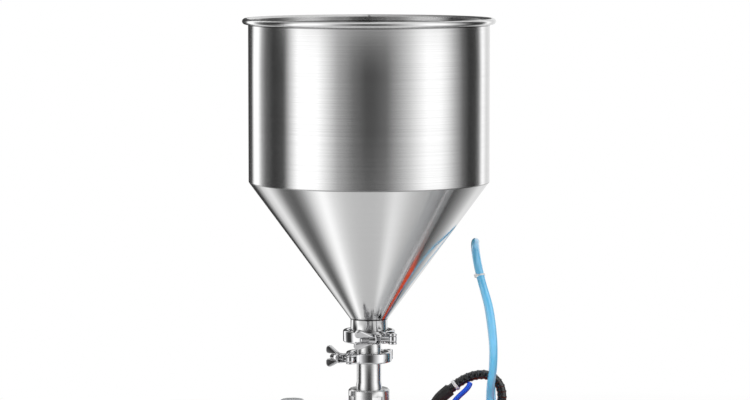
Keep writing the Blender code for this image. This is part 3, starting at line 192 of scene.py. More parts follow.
# %% Light from each compass direction
# (degrees from the camera's side, positive to the right; light)
CARDS = [
    (-180, 0.10), (-163, 0.05), (-149, 0.10), (-142, 1.60), (-132, 1.70), (-124, 0.55), (-116, 0.17),
    (-104, 0.05), (-95, 0.06), (-88, 0.08), (-80, 0.95), (-72, 1.70), (-50, 1.70), (-40, 1.12),
    (-30, 0.56), (-15, 0.19), (-3, 0.05), (4, 0.05), (16, 0.14), (26, 0.46), (38, 0.88), (50, 1.40),
    (57, 1.70), (72, 1.70), (80, 1.30), (90, 0.70), (101, 0.22), (111, 0.05), (123, 0.05),
    (130, 0.25), (138, 1.60), (151, 0.90),
]  # fmt: skip
LOW_CARDS = [
    (-180, 0.60), (-165, 0.70), (-150, 0.75), (-138, 1.20), (-130, 0.70), (-123, 0.22), (-112, 0.12),
    (-103, 0.40), (-93, 1.05), (-81, 1.65), (-68, 1.10), (-52, 0.84), (-34, 0.76), (-15, 0.74),
    (9, 0.74), (30, 0.78), (42, 0.98), (50, 1.20), (58, 1.12), (66, 0.98), (78, 0.74), (90, 0.62),
    (100, 0.40), (108, 0.10), (114, 0.05), (122, 0.10), (134, 0.36), (147, 0.76), (160, 1.20),
    (180, 0.60),
]  # fmt: skip
BRIGHTEST = 1.7
OVERHEAD = tuple([1.0 / BRIGHTEST] * 3)
OVERHEAD_FROM, OVERHEAD_WHOLE = 0.6, 0.95
LOW_FROM, LOW_WHOLE = -0.28, -0.42


def room_light(g, direction):
    """The light that comes from a direction: cards and soft boxes round about, white overhead."""
    way = g.add("ShaderNodeSeparateXYZ", Vector=direction)
    azimuth = g.math("ARCTAN2", way.outputs["X"], g.math("MULTIPLY", way.outputs["Y"], -1.0))
    turn = g.math("ADD", g.math("DIVIDE", azimuth, math.tau), 0.5)
    bands, low_bands = (
        g.ramp(turn, [((degrees + 180) / 360, light / BRIGHTEST) for degrees, light in cards])
        for cards in (CARDS, LOW_CARDS)
    )
    upward = g.spread(way.outputs["Z"], OVERHEAD_FROM, OVERHEAD_WHOLE, 0.0, 1.0)
    downward = g.spread(way.outputs["Z"], LOW_FROM, LOW_WHOLE, 0.0, 1.0)
    return g.mix(downward, g.mix(upward, bands, OVERHEAD), low_bands)


print(len(CARDS), "cards and soft boxes at eye level,", len(LOW_CARDS), "low down")

# %% [markdown]
# The world is plain white to the eye, to clear plastic and to polished metal, and its light on
# matt surfaces comes from the same cards. The cards themselves stand far round the machine as
# a ring that is open above. Only polished surfaces see it, as flags hung out of the picture.

# %% World
world = bpy.data.worlds.new("studio")
bpy.context.scene.world = world
world.use_nodes = True
g = Graph(world.node_tree)
light = room_light(g, g.add("ShaderNodeTexCoord").outputs["Generated"])
lit = g.add("ShaderNodeBackground", Color=light, Strength=BRIGHTEST)
white = g.add("ShaderNodeBackground", Color=(1, 1, 1, 1), Strength=1.0)
rays = g.add("ShaderNodeLightPath")
seen = g.math("MAXIMUM", rays.outputs["Is Camera Ray"], rays.outputs["Is Transmission Ray"])
seen = g.math("MAXIMUM", seen, rays.outputs["Is Glossy Ray"])
shown = g.add("ShaderNodeMixShader", i0=seen, i1=lit.outputs[0], i2=white.outputs[0])
g.add("ShaderNodeOutputWorld", Surface=shown.outputs[0])
print("world", world.name, "white behind the machine")

# %% Cards and soft boxes
RING_R = 50.0
RING_TOP = OVERHEAD_WHOLE * RING_R
bm = bmesh.new()
bmesh.ops.create_uvsphere(bm, u_segments=96, v_segments=48, radius=RING_R)
overhead = [f for f in bm.faces if f.calc_center_median().z > RING_TOP]
bmesh.ops.delete(bm, geom=overhead, context="FACES")
ring_data = bpy.data.meshes.new("cards")
bm.to_mesh(ring_data)
bm.free()
ring = bpy.data.objects.new("cards", ring_data)
bpy.context.scene.collection.objects.link(ring)
for way in ("camera", "diffuse", "transmission", "shadow", "volume_scatter"):
    setattr(ring, "visible_" + way, False)
card, g = new_material("card")
outward = g.add("ShaderNodeVectorMath", {"operation": "NORMALIZE"}, i0=g.where())
light = room_light(g, outward.outputs[0])
glow = g.add("ShaderNodeEmission", Color=light, Strength=BRIGHTEST)
g.add("ShaderNodeOutputMaterial", Surface=glow.outputs[0])
card.cycles.emission_sampling = "NONE"
ring_data.materials.append(card)
print("cards", RING_R, "m away, open above", RING_TOP, "m")

# %% [markdown]
# The floor is a very wide sheet of pale paper. Near the machine it takes the shadow, and far off
# it goes over into plain white. Polished metal looks through it to the cards beyond.

# %% Floor
FLOOR_HALF = 60.0
WHITE_FROM, WHITE_WHOLE = 1.0, 2.2
bm = bmesh.new()
bmesh.ops.create_grid(bm, x_segments=1, y_segments=1, size=FLOOR_HALF)
floor_data = bpy.data.meshes.new("floor")
bm.to_mesh(floor_data)
bm.free()
floor = bpy.data.objects.new("floor", floor_data)
bpy.context.scene.collection.objects.link(floor)
paper, g = new_material("floor_paper")
out = g.add("ShaderNodeVectorMath", {"operation": "LENGTH"}, i0=g.where())
far = g.spread(out.outputs["Value"], WHITE_FROM, WHITE_WHOLE, 0.0, 1.0)
rays = g.add("ShaderNodeLightPath")
seen = g.math("MAXIMUM", rays.outputs["Is Camera Ray"], rays.outputs["Is Transmission Ray"])
fibre = g.mix(g.noise((400, 400, 400), detail=3.0), (0.80, 0.80, 0.80), (0.86, 0.86, 0.86))
matt = g.add("ShaderNodeBsdfPrincipled", Base_Color=fibre, Roughness=0.8)
glow = g.add("ShaderNodeEmission", Color=(1, 1, 1, 1), Strength=1.0)
plain = g.math("MULTIPLY", far, seen)
sheet = g.add("ShaderNodeMixShader", i0=plain, i1=matt.outputs[0], i2=glow.outputs[0])
clear = g.add("ShaderNodeBsdfTransparent")
polished = rays.outputs["Is Glossy Ray"]
mixed = g.add("ShaderNodeMixShader", i0=polished, i1=sheet.outputs[0], i2=clear.outputs[0])
g.add("ShaderNodeOutputMaterial", Surface=mixed.outputs[0])
floor_data.materials.append(paper)
print("floor", 2 * FLOOR_HALF, "m wide")

# %% [markdown]
# One broad lamp from the upper left gives the paint and the plastics their shading and the floor
# its shadow. Polished metal doesn't mirror it, because its bright disc would break the bands.

# %% Key light
KEY_PLACE = Vector((-1.8, -2.2, 3.0))
KEY_AIM = Vector((0, 0, 0.4))
KEY_ACROSS = 1.6
KEY_WATTS = 108
key_data = bpy.data.lights.new("key", "AREA")
key_data.shape = "DISK"
key_data.size = KEY_ACROSS
key_data.energy = KEY_WATTS
key = bpy.data.objects.new("key", key_data)
bpy.context.scene.collection.objects.link(key)
key.location = KEY_PLACE
key.visible_glossy = False
key.rotation_euler = (KEY_AIM - KEY_PLACE).to_track_quat("-Z", "Y").to_euler()
print("key light", KEY_WATTS, "W")

# %% [markdown]
# ## Steel
# Six finishes of stainless steel are on this machine. The hopper is brushed round its axis,
# which smears reflections up and down and keeps them crisp sideways: the anisotropic setting,
# turned by a quarter, does that. Its welds are ground flat and stay as faint duller lines, one
# where barrel and cone meet and one down the back. A dark line of painted shade lies in the
# crease at the cone's foot and under the rolled rim. The cone is polished smoother than the
# barrel. Turned parts have finer rings.


# %% Round steel
def hopper_welds_and_painted_shade(g, colour, tone, rough):
    """Welds, painted shade in the creases and the smoother cone, worked into tone, roughness and bump
    strength.
    """
    spot = g.add("ShaderNodeSeparateXYZ", Vector=g.where())
    across, depth, height = (spot.outputs[name] for name in "XYZ")
    behind = g.math("GREATER_THAN", depth, 0.0)
    back_weld = g.math("MULTIPLY", behind, g.line_at(across, AXIS_X, 1.2 * MM, 2.2 * MM))
    weld = g.math("MAXIMUM", g.line_at(height, KNEE_Z, 0.5 * MM, 1.2 * MM), back_weld)
    # Painted shade: dark lines in the crease at the cone's foot and under the rolled rim, where shade
    # falls.
    foot_crease_painted_shade = g.line_at(height, FOOT_Z + 0.4 * MM, 0.7 * MM, 1.5 * MM)
    rim_crease_painted_shade = g.line_at(height, RIM_Z - 5.2 * MM, 0.5 * MM, 1.1 * MM, 0.8)
    painted_crease_shade = g.math("MAXIMUM", foot_crease_painted_shade, rim_crease_painted_shade)
    on_cone = g.math("LESS_THAN", height, KNEE_Z)
    strength = g.spread(on_cone, 0.0, 1.0, 0.4, 0.1)
    rough = g.math("MULTIPLY", rough, g.spread(on_cone, 0.0, 1.0, 1.0, 0.5))
    rough = g.math("ADD", rough, g.math("MULTIPLY", weld, 0.15))
    tone = g.mix(g.math("MULTIPLY", on_cone, 0.8), tone, colour)
    tone = g.mix(weld, tone, tuple(c * 0.55 for c in colour))
    # The painted shade darkens the tone in the creases to a sixth of the steel's colour.
    return g.mix(painted_crease_shade, tone, tuple(c * 0.16 for c in colour)), rough, strength


def round_steel(name, colour, roughness, anisotropic, stretch, depth, marks_and_painted_shade=None):
    """Steel brushed or turned about an upright axis; stretch is its grain in features per metre."""
    material, g = new_material(name)
    grain = g.noise(stretch, detail=3.0, roughness=0.65)
    cloud = g.noise((7, 7, 4), detail=3.0)
    tone = g.mix(g.spread(grain, 0.3, 0.7, 0.0, 1.0), tuple(c * 0.88 for c in colour), colour)
    rough = g.spread(cloud, 0.3, 0.7, roughness * 0.85, roughness * 1.15)
    strength = 0.4
    if marks_and_painted_shade:
        tone, rough, strength = marks_and_painted_shade(g, colour, tone, rough)
    g.surface(
        Base_Color=tone,
        Metallic=1.0,
        Roughness=rough,
        Anisotropic=anisotropic,
        Anisotropic_Rotation=0.25,
        Normal=g.bump(grain, depth, strength),
        Tangent=g.add("ShaderNodeTangent", {"direction_type": "RADIAL", "axis": "Z"}).outputs[0],
    )
    return material


BRUSHED, RINGED = (2, 2, 1100), (15, 15, 1600)
hopper_steel = round_steel("hopper_steel", (0.66, 0.66, 0.66), 0.2, 0.98, BRUSHED, 0.02 * MM, hopper_welds_and_painted_shade)
turned_steel = round_steel("turned_steel", (0.64, 0.64, 0.64), 0.22, 0.9, RINGED, 0.01 * MM)
print("welds at", f"{KNEE_Z:.4f} and down the back, crease at {FOOT_Z:.4f}")


# %% [markdown]
# The rest of the metal has no grain that goes round an upright axis. Cast clamps are tumbled
# and polished, sheet is brushed along the machine, and the cylinder blocks are blasted and
# anodised to a dull silver.


# %% Other metal
def metal(name, colour, roughness, stretch, depth, contrast=0.08, patchy=0.2):
    """Metal with a grain along the axes of its stretch, and a patchy gloss."""
    material, g = new_material(name)
    grain = g.noise(stretch, detail=4.0, roughness=0.6)
    cloud = g.noise((25, 25, 25), detail=3.0)
    tone = g.mix(g.spread(grain, 0.3, 0.7, 0.0, 1.0), tuple(c * (1 - contrast) for c in colour), colour)
    rough = g.spread(cloud, 0.3, 0.7, roughness * (1 - patchy), roughness * (1 + patchy))
    g.surface(Base_Color=tone, Metallic=1.0, Roughness=rough, Normal=g.bump(grain, depth))
    return material


clamp_steel = metal("clamp_steel", (0.62, 0.62, 0.63), 0.09, (600, 600, 600), 0.02 * MM)
bright_steel = metal("bright_steel", (0.70, 0.70, 0.71), 0.08, (1500, 90, 90), 0.004 * MM, 0.04)
barrel_steel = metal("barrel_steel", (0.62, 0.62, 0.63), 0.2, (1500, 40, 40), 0.01 * MM)
sheet_steel = metal("sheet_steel", (0.62, 0.63, 0.64), 0.32, (9, 1100, 1100), 0.01 * MM, 0.1, 0.04)
anodised = metal("anodised", (0.70, 0.71, 0.72), 0.42, (2500, 2500, 2500), 0.012 * MM, 0.05)

# %% [markdown]
# Moulded plastic, rubber and paint are not metal: they show their own colour under a thin clear
# gloss. Paint has a soft orange-peel ripple, moulded knobs a fine spark-eroded grain, and
# rubber is nearly matt. The tubes are polyurethane with a clear gloss: the light blue one lets a
# little light in. The regulator's bowl is clear.


# %% Plastics, rubber and paint
def moulded(name, colour, roughness, lumps, depth, tint=0.12, **more):
    """A coloured, non-metal skin with a fine texture of lumps per metre."""
    material, g = new_material(name)
    skin = g.noise((lumps, lumps, lumps), detail=3.0)
    cloud = g.noise((40, 40, 40), detail=3.0)
    tone = g.mix(g.spread(cloud, 0.3, 0.7, 0.0, 1.0), tuple(c * (1 - tint) for c in colour), colour)
    rough = g.spread(cloud, 0.3, 0.7, roughness * 0.85, roughness * 1.2)
    g.surface(Base_Color=tone, Roughness=rough, Normal=g.bump(skin, depth), **more)
    return material


red_paint = moulded(
    "red_paint", (0.85, 0.075, 0.006), 0.4, 320, 0.08 * MM, Coat_Weight=0.15, Coat_Roughness=0.1
)  # fmt: skip
red_plastic = moulded("red_plastic", (0.55, 0.015, 0.012), 0.3, 1500, 0.02 * MM)
green_plastic = moulded("green_plastic", (0.02, 0.28, 0.07), 0.3, 1500, 0.02 * MM)
black_plastic = moulded("black_plastic", (0.018, 0.018, 0.02), 0.38, 1800, 0.05 * MM, 0.25)
sleeve_plastic = moulded(
    "sleeve_plastic", (0.008, 0.008, 0.009), 0.3, 900, 0.01 * MM, 0.25,
    Specular_IOR_Level=0.1, Coat_Weight=1.0, Coat_Roughness=0.12, Coat_IOR=1.6,
)  # fmt: skip
foot_rubber = moulded("foot_rubber", (0.03, 0.03, 0.03), 0.7, 900, 0.12 * MM, 0.3)
seal_white = moulded("seal_white", (0.80, 0.80, 0.77), 0.5, 700, 0.03 * MM, 0.05)
tie_white = moulded("tie_white", (0.80, 0.80, 0.80), 0.4, 700, 0.03 * MM, 0.05)

# %% Clear and tubular plastics
light_blue = moulded(
    "tube_light_blue", (0.15, 0.62, 1.0), 0.3, 500, 0.02 * MM, 0.06,
    Subsurface_Weight=0.15, Subsurface_Scale=10 * MM, Coat_Weight=1.0, Coat_Roughness=0.05, Coat_IOR=1.8,
)  # fmt: skip
royal_blue = moulded("tube_royal_blue", (0.004, 0.09, 0.75), 0.22, 500, 0.02 * MM, 0.06, Coat_Weight=0.4)
bowl_clear = moulded(
    "bowl_clear", (0.85, 0.90, 0.92), 0.08, 300, 0.02 * MM, 0.02, Transmission_Weight=0.9, IOR=1.45
)  # fmt: skip
print(len(bpy.data.materials), "materials")


# %% [markdown]
# ## Making pieces
# A part from a lathe is one outline spun about an axis. Sheet and flat parts are an outline
# extruded. Small edges get a real rounding with bevel, because a bright line along an edge is
# what tells the eye that a part is solid metal.


# %% Lathe work
def arc(centre, radius, start, end, steps):
    """Points on an arc in an outline, from one angle in degrees to another."""
    angles = [math.radians(start + (end - start) * step / steps) for step in range(steps + 1)]
    return [(centre[0] + radius * math.cos(a), centre[1] + radius * math.sin(a)) for a in angles]


TURN_Z_TO = {
    "X": Matrix.Rotation(math.pi / 2, 4, "Y"),
    "Y": Matrix.Rotation(-math.pi / 2, 4, "X"),
    "Z": Matrix.Identity(4),
}


def turned(outline, axis="Z", at=(0, 0, 0), steps=48, start=0.0, sweep=math.tau):
    """Spins a closed outline of (radius, height) about an axis; a part turn gets flat ends."""
    bm = bmesh.new()
    verts = [bm.verts.new((radius, 0, height)) for radius, height in outline]
    pairs = zip(verts, verts[1:] + verts[:1])
    edges = [bm.edges.new(pair) for pair in pairs if max(v.co.x for v in pair) > 0]
    bmesh.ops.rotate(bm, verts=verts, matrix=Matrix.Rotation(start, 3, "Z"))
    whole = sweep == math.tau
    bmesh.ops.spin(bm, geom=verts + edges, axis=(0, 0, 1), angle=sweep, steps=steps, use_merge=whole)
    bmesh.ops.remove_doubles(bm, verts=bm.verts, dist=SAME_SPOT)
    if not whole:
        bmesh.ops.holes_fill(bm, edges=[edge for edge in bm.edges if edge.is_boundary])
    bm.transform(Matrix.Translation(at) @ TURN_Z_TO[axis])
    return bm


def rod(radius, low, high, axis="Z", at=(0, 0, 0), steps=32):
    return turned([(0, low), (radius, low), (radius, high), (0, high)], axis, at, steps)


def washer(inner, outer, low, high, axis="Z", at=(0, 0, 0), steps=48):
    return turned([(inner, low), (outer, low), (outer, high), (inner, high)], axis, at, steps)


# %% [markdown]
# Flat pieces are cut from a plate or a bar. A plate is one outline extruded, a block is a cube
# stretched to its size, and soften then breaks the edges as a file or a mould would.


# %% Flat work and edges
def block(x, y, z):
    bm = bmesh.new()
    low, high = (Vector(corner) for corner in zip(x, y, z))
    stretched = Matrix.Translation((low + high) / 2) @ Matrix.Diagonal((*(high - low), 1))
    bmesh.ops.create_cube(bm, size=1, matrix=stretched)
    return bm


def plate(points, grow):
    """A flat outline of 3-D points, extruded by a vector."""
    bm = bmesh.new()
    face = bm.faces.new([bm.verts.new(point) for point in points])
    grown = bmesh.ops.extrude_face_region(bm, geom=[face])
    moved = [item for item in grown["geom"] if isinstance(item, bmesh.types.BMVert)]
    bmesh.ops.translate(bm, verts=moved, vec=grow)
    return bm


def soften(bm, width, angle=25, segments=2):
    """Rounds every edge sharper than the angle."""
    bmesh.ops.recalc_face_normals(bm, faces=bm.faces)
    bm.normal_update()
    inside = [e for e in bm.edges if len(e.link_faces) == 2]
    sharp = [e for e in inside if e.calc_face_angle() > math.radians(angle)]
    bmesh.ops.bevel(
        bm,
        geom=sharp,
        offset=width,
        segments=segments,
        profile=0.5,
        affect="EDGES",
        material=-1,
        clamp_overlap=True,
    )
    return bm


def together(*shapes):
    """Several closed shells in one bmesh."""
    whole = bmesh.new()
    for bm in shapes:
        bmesh.ops.recalc_face_normals(bm, faces=bm.faces)
        part = bpy.data.meshes.new("part")
        bm.to_mesh(part)
        bm.free()
        whole.from_mesh(part)
        bpy.data.meshes.remove(part)
    return whole


# %% [markdown]
# Each finished mesh becomes an object that rides on a body of the machine and stands for the CAD
# nodes that it replaces. A piece is made new, and an eased piece is a copy of a CAD node with
# its facets' seams merged and its edges rounded.


# %% Placing pieces
SMOOTH_BELOW = 35


def place(name, mesh, material, body, nodes, slot):
    """Turns a mesh into an object that rides on a body and stands for CAD nodes."""
    mesh.materials.append(material)
    obj = bpy.data.objects.new(name, mesh)
    bpy.context.scene.collection.objects.link(obj)
    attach(obj, body)
    if nodes:
        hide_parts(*nodes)
    return obj


def piece(name, bm, material, *nodes, body="machine", slot=None, sharp=SMOOTH_BELOW):
    """A smooth piece made with the hopper's axis at X = 0."""
    bm.transform(Matrix.Translation((AXIS_X, 0, 0)))
    bmesh.ops.recalc_face_normals(bm, faces=bm.faces)
    mesh = bpy.data.meshes.new(name)
    bm.to_mesh(mesh)
    bm.free()
    mesh.shade_smooth()
    mesh.set_sharp_from_angle(angle=math.radians(sharp))
    place(name, mesh, material, RIDES[nodes[0]] if nodes else body, nodes, slot)
    print(f"{name}: {len(mesh.polygons)} faces")


def eased(node, material, slot, width=0.4 * MM, faces=()):
    """A CAD node's copy, flats merged and edges rounded; faces gives some of them another material."""
    bm = bmesh.new()
    bm.from_mesh(frame["nodes"][node].data)
    bmesh.ops.remove_doubles(bm, verts=bm.verts, dist=SAME_SPOT)
    bmesh.ops.dissolve_limit(bm, angle_limit=math.radians(1), verts=bm.verts, edges=bm.edges)
    bmesh.ops.recalc_face_normals(bm, faces=bm.faces)
    mesh = bpy.data.meshes.new(node + "_eased")
    for number, (_, chosen) in enumerate(faces, start=1):
        for face in bm.faces:
            if chosen(face.calc_center_median()):
                face.material_index = number
    bm.to_mesh(mesh)
    bm.free()
    mesh.shade_smooth()
    mesh.set_sharp_from_angle(angle=math.radians(SMOOTH_BELOW))
    obj = place(node + "_eased", mesh, material, RIDES[node], [node], slot)
    for extra, _ in faces:
        mesh.materials.append(extra)
    bevel = obj.modifiers.new("eased", "BEVEL")
    bevel.width = width
    bevel.segments = 2
    bevel.limit_method = "ANGLE"
    bevel.angle_limit = math.radians(SMOOTH_BELOW)
    bevel.harden_normals = True


# %% [markdown]
# ## Hopper
# One skin of sheet: rolled bead, barrel, cone, outlet pipe and ferrule, welded and ground so
# that only a thin line shows. The bead is nearly a full roll, open towards the barrel.

# %% Hopper
WALL = 2 * MM
BARREL_R = RIM_R - 2 * BEAD_R
OUTLET_R = 27 * MM
FERRULE_R = 32 * MM
FLANGE_T = 2 * MM
SLOPE = math.tan(math.radians(20))
face_z = hopper_low.z
half_angle = math.atan2(BARREL_R - OUTLET_R, CONE_H)
lift = WALL * (1 / math.cos(half_angle) - 1) / math.tan(half_angle)
KNEE_BEND = 3 * MM
knee_centre = (BARREL_R - KNEE_BEND, KNEE_Z + KNEE_BEND * math.tan(half_angle / 2))
neck_z = face_z + FLANGE_T + (FERRULE_R - OUTLET_R) * SLOPE
piece("hopper_shell", turned([
    (OUTLET_R - WALL, face_z),
    (FERRULE_R - 0.3 * MM, face_z),
    (FERRULE_R, face_z + 0.3 * MM),
    (FERRULE_R, face_z + FLANGE_T),
    (OUTLET_R + MM, neck_z - SLOPE * MM),
    (OUTLET_R, neck_z + 0.8 * MM),
    (OUTLET_R, FOOT_Z - 1.2 * MM),
    (OUTLET_R + 0.6 * MM, FOOT_Z),
    *arc(knee_centre, KNEE_BEND, -math.degrees(half_angle), 0, 5),
    (BARREL_R, KNEE_Z + 80 * MM),
    (BARREL_R, KNEE_Z + 160 * MM),
    (BARREL_R, RIM_Z - BEAD_R / 2),
    *arc((RIM_R - BEAD_R, RIM_Z), BEAD_R, 200, 470, 22),
    (BARREL_R - WALL, RIM_Z + BEAD_R / 3),
    (BARREL_R - WALL, KNEE_Z + 120 * MM),
    (BARREL_R - WALL, KNEE_Z + lift),
    (OUTLET_R - WALL, FOOT_Z + lift),
], steps=192), hopper_steel, "hopper", slot="hopper_steel", sharp=28)  # fmt: skip

# %% [markdown]
# ## Pipe stack
# Two gaskets, the reducing spool and the valve's inlet pipe are lathe work. The faces that the
# clamps press together keep their crisp rim, and the outer corners lose a third of a millimetre.

# %% Gaskets, spool and inlet pipe
PIPE_R = 17.75 * MM
PIPE_BORE_R = 16 * MM
LOWER_R = 25.25 * MM
UPPER_Z = 411.6 * MM
LOWER_Z = 380.6 * MM
STAND = 1.1 * MM
NUT_TOP_Z = 333.6 * MM
neck = (LOWER_R - PIPE_R) * SLOPE
for name, plane, inner, outer in (
    ("upper_gasket", UPPER_Z, OUTLET_R - WALL, FERRULE_R),
    ("lower_gasket", LOWER_Z, PIPE_BORE_R, LOWER_R),
):
    rubber = washer(inner, outer - 0.3 * MM, plane - 0.8 * MM, plane + 0.8 * MM, steps=96)
    piece(name + "_ring", soften(rubber, 0.25 * MM), seal_white, name, slot="seal_white")
top, foot = UPPER_Z - STAND, LOWER_Z + STAND
hub_z = top - FLANGE_T - (FERRULE_R - OUTLET_R) * SLOPE
spool = turned([
    (PIPE_BORE_R, foot),
    (LOWER_R, foot),
    (LOWER_R, foot + FLANGE_T),
    (PIPE_R + MM, foot + FLANGE_T + neck - SLOPE * MM),
    (PIPE_R, foot + FLANGE_T + neck + 0.6 * MM),
    (PIPE_R, hub_z - 3 * MM),
    (PIPE_R + 1.5 * MM, hub_z - 2 * MM),
    (OUTLET_R, hub_z),
    (FERRULE_R, top - FLANGE_T),
    (FERRULE_R, top),
    (OUTLET_R - WALL, top),
    (PIPE_BORE_R, hub_z - 0.5 * MM),
], steps=96)  # fmt: skip
piece("spool_turned", soften(spool, 0.3 * MM, 40), turned_steel, "spool", slot="pipe_steel")
face = LOWER_Z - STAND
shoulder = NUT_TOP_Z - 4.2 * MM
inlet = turned([
    (PIPE_BORE_R, shoulder - 6 * MM),
    (21.8 * MM, shoulder - 6 * MM),
    (21.8 * MM, shoulder),
    (19 * MM, shoulder),
    (19 * MM, NUT_TOP_Z + 2 * MM),
    (18.7 * MM, NUT_TOP_Z + 5 * MM),
    (PIPE_R, NUT_TOP_Z + 10 * MM),
    (PIPE_R, face - FLANGE_T - neck - 0.6 * MM),
    (PIPE_R + MM, face - FLANGE_T - neck + SLOPE * MM),
    (LOWER_R, face - FLANGE_T),
    (LOWER_R, face),
    (PIPE_BORE_R, face),
], steps=96)  # fmt: skip
piece("inlet_pipe_turned", soften(inlet, 0.3 * MM, 40), turned_steel, "inlet_pipe", slot="pipe_steel")

# %% [markdown]
# ## Clamps
# Each clamp is two cast half rings on a hinge pin, pulled together by a swing bolt and a wing
# nut. The ring's section is a channel with sloping walls, which wedges the two ferrules
# together. Casting leaves every corner round, so each piece gets a generous bevel.


# %% A clamp's sizes
EYE_R, EYE_H, BOLT_R = 6.2 * MM, 4 * MM, 3.8 * MM
KNUCKLE_R = 5 * MM
LINK_W = 7 * MM
FIT = 0.3 * MM
HINGE_HALF = math.radians(4)
WING_T = 7 * MM


def clamp_sizes(**chosen):
    """A clamp's chosen sizes and what follows from them; its bolt runs along X in front, at -bolt_y."""
    c = SimpleNamespace(**chosen)
    c.half_h = c.ring_h / 2
    c.lip_r = c.ferrule_r - 2.5 * MM
    c.middle_r = (c.lip_r + c.ring_r) / 2
    c.hinge_y = c.ring_r + 4.5 * MM
    c.knuckle_h = c.half_h * 0.36
    c.cheek = c.half_h - MM
    c.slot_end_x = c.ear_x + 7 * MM
    return c


def clamp_piece(c, part, *shapes):
    bm = together(*shapes)
    bm.transform(Matrix.Translation((0, 0, c.plane)) @ Matrix.Rotation(math.radians(c.turn_by), 4, "Z"))
    piece(f"{c.side}_{part}_cast", bm, clamp_steel, f"{c.side}_clamp_{part}", slot="clamp_steel")


# %% Shapes that both halves share
def half_ring(c, start, end):
    """The channel that wedges the two ferrules together, over part of a turn."""
    seat = STAND + FLANGE_T + FIT
    crown = 2.2 * MM
    wedge = 2.8 * MM * SLOPE
    section = [
        (c.lip_r, -c.half_h),
        *arc((c.ring_r - crown, crown - c.half_h), crown, -90, 0, 4),
        *arc((c.ring_r - crown, c.half_h - crown), crown, 0, 90, 4),
        (c.lip_r, c.half_h),
        (c.lip_r, seat + wedge),
        (c.ferrule_r + FIT, seat),
        (c.ferrule_r + FIT, -seat),
        (c.lip_r, -seat - wedge),
    ]
    return soften(turned(section, steps=40, start=start, sweep=end - start), 0.7 * MM, 50)


def paired(outline, near, far):
    """One rounded slab above the middle and one below."""
    slabs = [plate([(x, y, low) for x, y in outline], (0, 0, far - near)) for low in (near, -far)]
    return [soften(slab, MM, 40) for slab in slabs]


def knuckle(c, low, high, side_x):
    """A hinge knuckle and the link that ties it to the ring on one side."""
    barrel = soften(rod(KNUCKLE_R, low, high, at=(0, c.hinge_y, 0)), 0.5 * MM, 40)
    link = soften(block(side_x, (c.middle_r, c.hinge_y), (low, high)), 0.5 * MM, 40)
    return barrel, link


# %% The half with the swing bolt
def bolt_half(c):
    """Ring, two rounded cheeks, the bolt's pin and one knuckle."""
    start = -math.pi / 2 + math.asin((c.slot_end_x + 6 * MM) / c.middle_r)
    x0, x1 = c.pivot_x - EYE_R, c.pivot_x + EYE_R
    in_y = -math.sqrt((c.ferrule_r + 1.2 * MM) ** 2 - x0**2)
    nose = arc((c.pivot_x, -c.bolt_y), EYE_R, 180, 360, 12)
    cheeks = paired([(x1, in_y), (x0, in_y), *nose], EYE_H + FIT, c.cheek)
    web = block((x0, x1), (-c.bolt_y + EYE_R + 1.2 * MM, in_y), (-c.cheek, c.cheek))
    pin = rod(2.5 * MM, -c.half_h + FIT, c.half_h - FIT, at=(c.pivot_x, -c.bolt_y, 0))
    clamp_piece(
        c,
        "bolt_half",
        half_ring(c, start, math.pi / 2 - HINGE_HALF),
        *cheeks,
        soften(web, 0.8 * MM, 40),
        soften(pin, 0.6 * MM, 40),
        *knuckle(c, -c.knuckle_h, c.knuckle_h, (0, LINK_W)),
    )


# %% The half with the slotted ear
def slot_half(c):
    """Ring, two prongs whose outside is an arc about the bolt's pin, two knuckles and their rivet."""
    end = math.tau - math.pi / 2 + math.asin(c.slot_end_x / c.middle_r)
    root_y = -math.sqrt(c.middle_r**2 - max(abs(c.ear_x), abs(c.slot_end_x)) ** 2)
    seat_r = c.pivot_x - c.ear_x
    slot_y = -c.bolt_y + BOLT_R + FIT
    lean = math.asin(7 * MM / seat_r)
    curve = [
        (c.pivot_x - seat_r * math.cos(a), -c.bolt_y + seat_r * math.sin(a))
        for a in (-lean, -lean / 2, 0, lean / 2, math.asin((c.bolt_y + slot_y) / seat_r))
    ]
    ear_x = curve[-1][0]
    foot = slot_y + 2 * MM
    prong = [(c.slot_end_x, foot), (c.slot_end_x, -c.bolt_y - 7 * MM), *curve, (ear_x, foot)]
    ear = block((ear_x, c.slot_end_x), (slot_y, root_y), (-c.cheek, c.cheek))
    low, high = c.knuckle_h + FIT, c.half_h - 0.4 * MM
    rivet = rod(2.2 * MM, -high - FIT, high + FIT, at=(0, c.hinge_y, 0))
    clamp_piece(
        c,
        "slot_half",
        half_ring(c, math.pi / 2 + HINGE_HALF, end),
        *paired(prong, BOLT_R + FIT, c.cheek),
        soften(ear, MM, 40),
        *knuckle(c, low, high, (-LINK_W, 0)),
        *knuckle(c, -high, -low, (-LINK_W, 0)),
        soften(rivet, 0.3 * MM, 40),
    )


# %% [markdown]
# The bolt has a rolled thread, whose flanks rise and fall along the outline, on a forged eye.
# The wing nut is one casting: a hub with a rounded collar, and two wings that flare outwards.


# %% Swing bolt
def thread(radius, low, high, pitch=1.25 * MM, depth=0.6 * MM):
    """Outline points up the flank of a threaded rod."""
    points = []
    for turn_number in range(int((high - low) / pitch)):
        z = low + turn_number * pitch
        points += [(radius, z), (radius, z + pitch * 0.2), (radius - depth, z + pitch * 0.6)]
    return points


def swing_bolt(c):
    eye = soften(washer(2.8 * MM, 6 * MM, -EYE_H, EYE_H, at=(c.pivot_x, -c.bolt_y, 0)), MM, 40)
    tip_x = c.ear_x - 22.5 * MM
    shank = turned([
        (0, tip_x),
        (BOLT_R - MM, tip_x),
        *thread(BOLT_R, tip_x + MM, c.ear_x + 8 * MM),
        (BOLT_R - 0.2 * MM, c.ear_x + 9 * MM),
        (BOLT_R - 0.2 * MM, c.pivot_x - 4 * MM),
        (0, c.pivot_x - 4 * MM),
    ], "X", (0, -c.bolt_y, 0))  # fmt: skip
    clamp_piece(c, "swing_bolt", eye, shank)


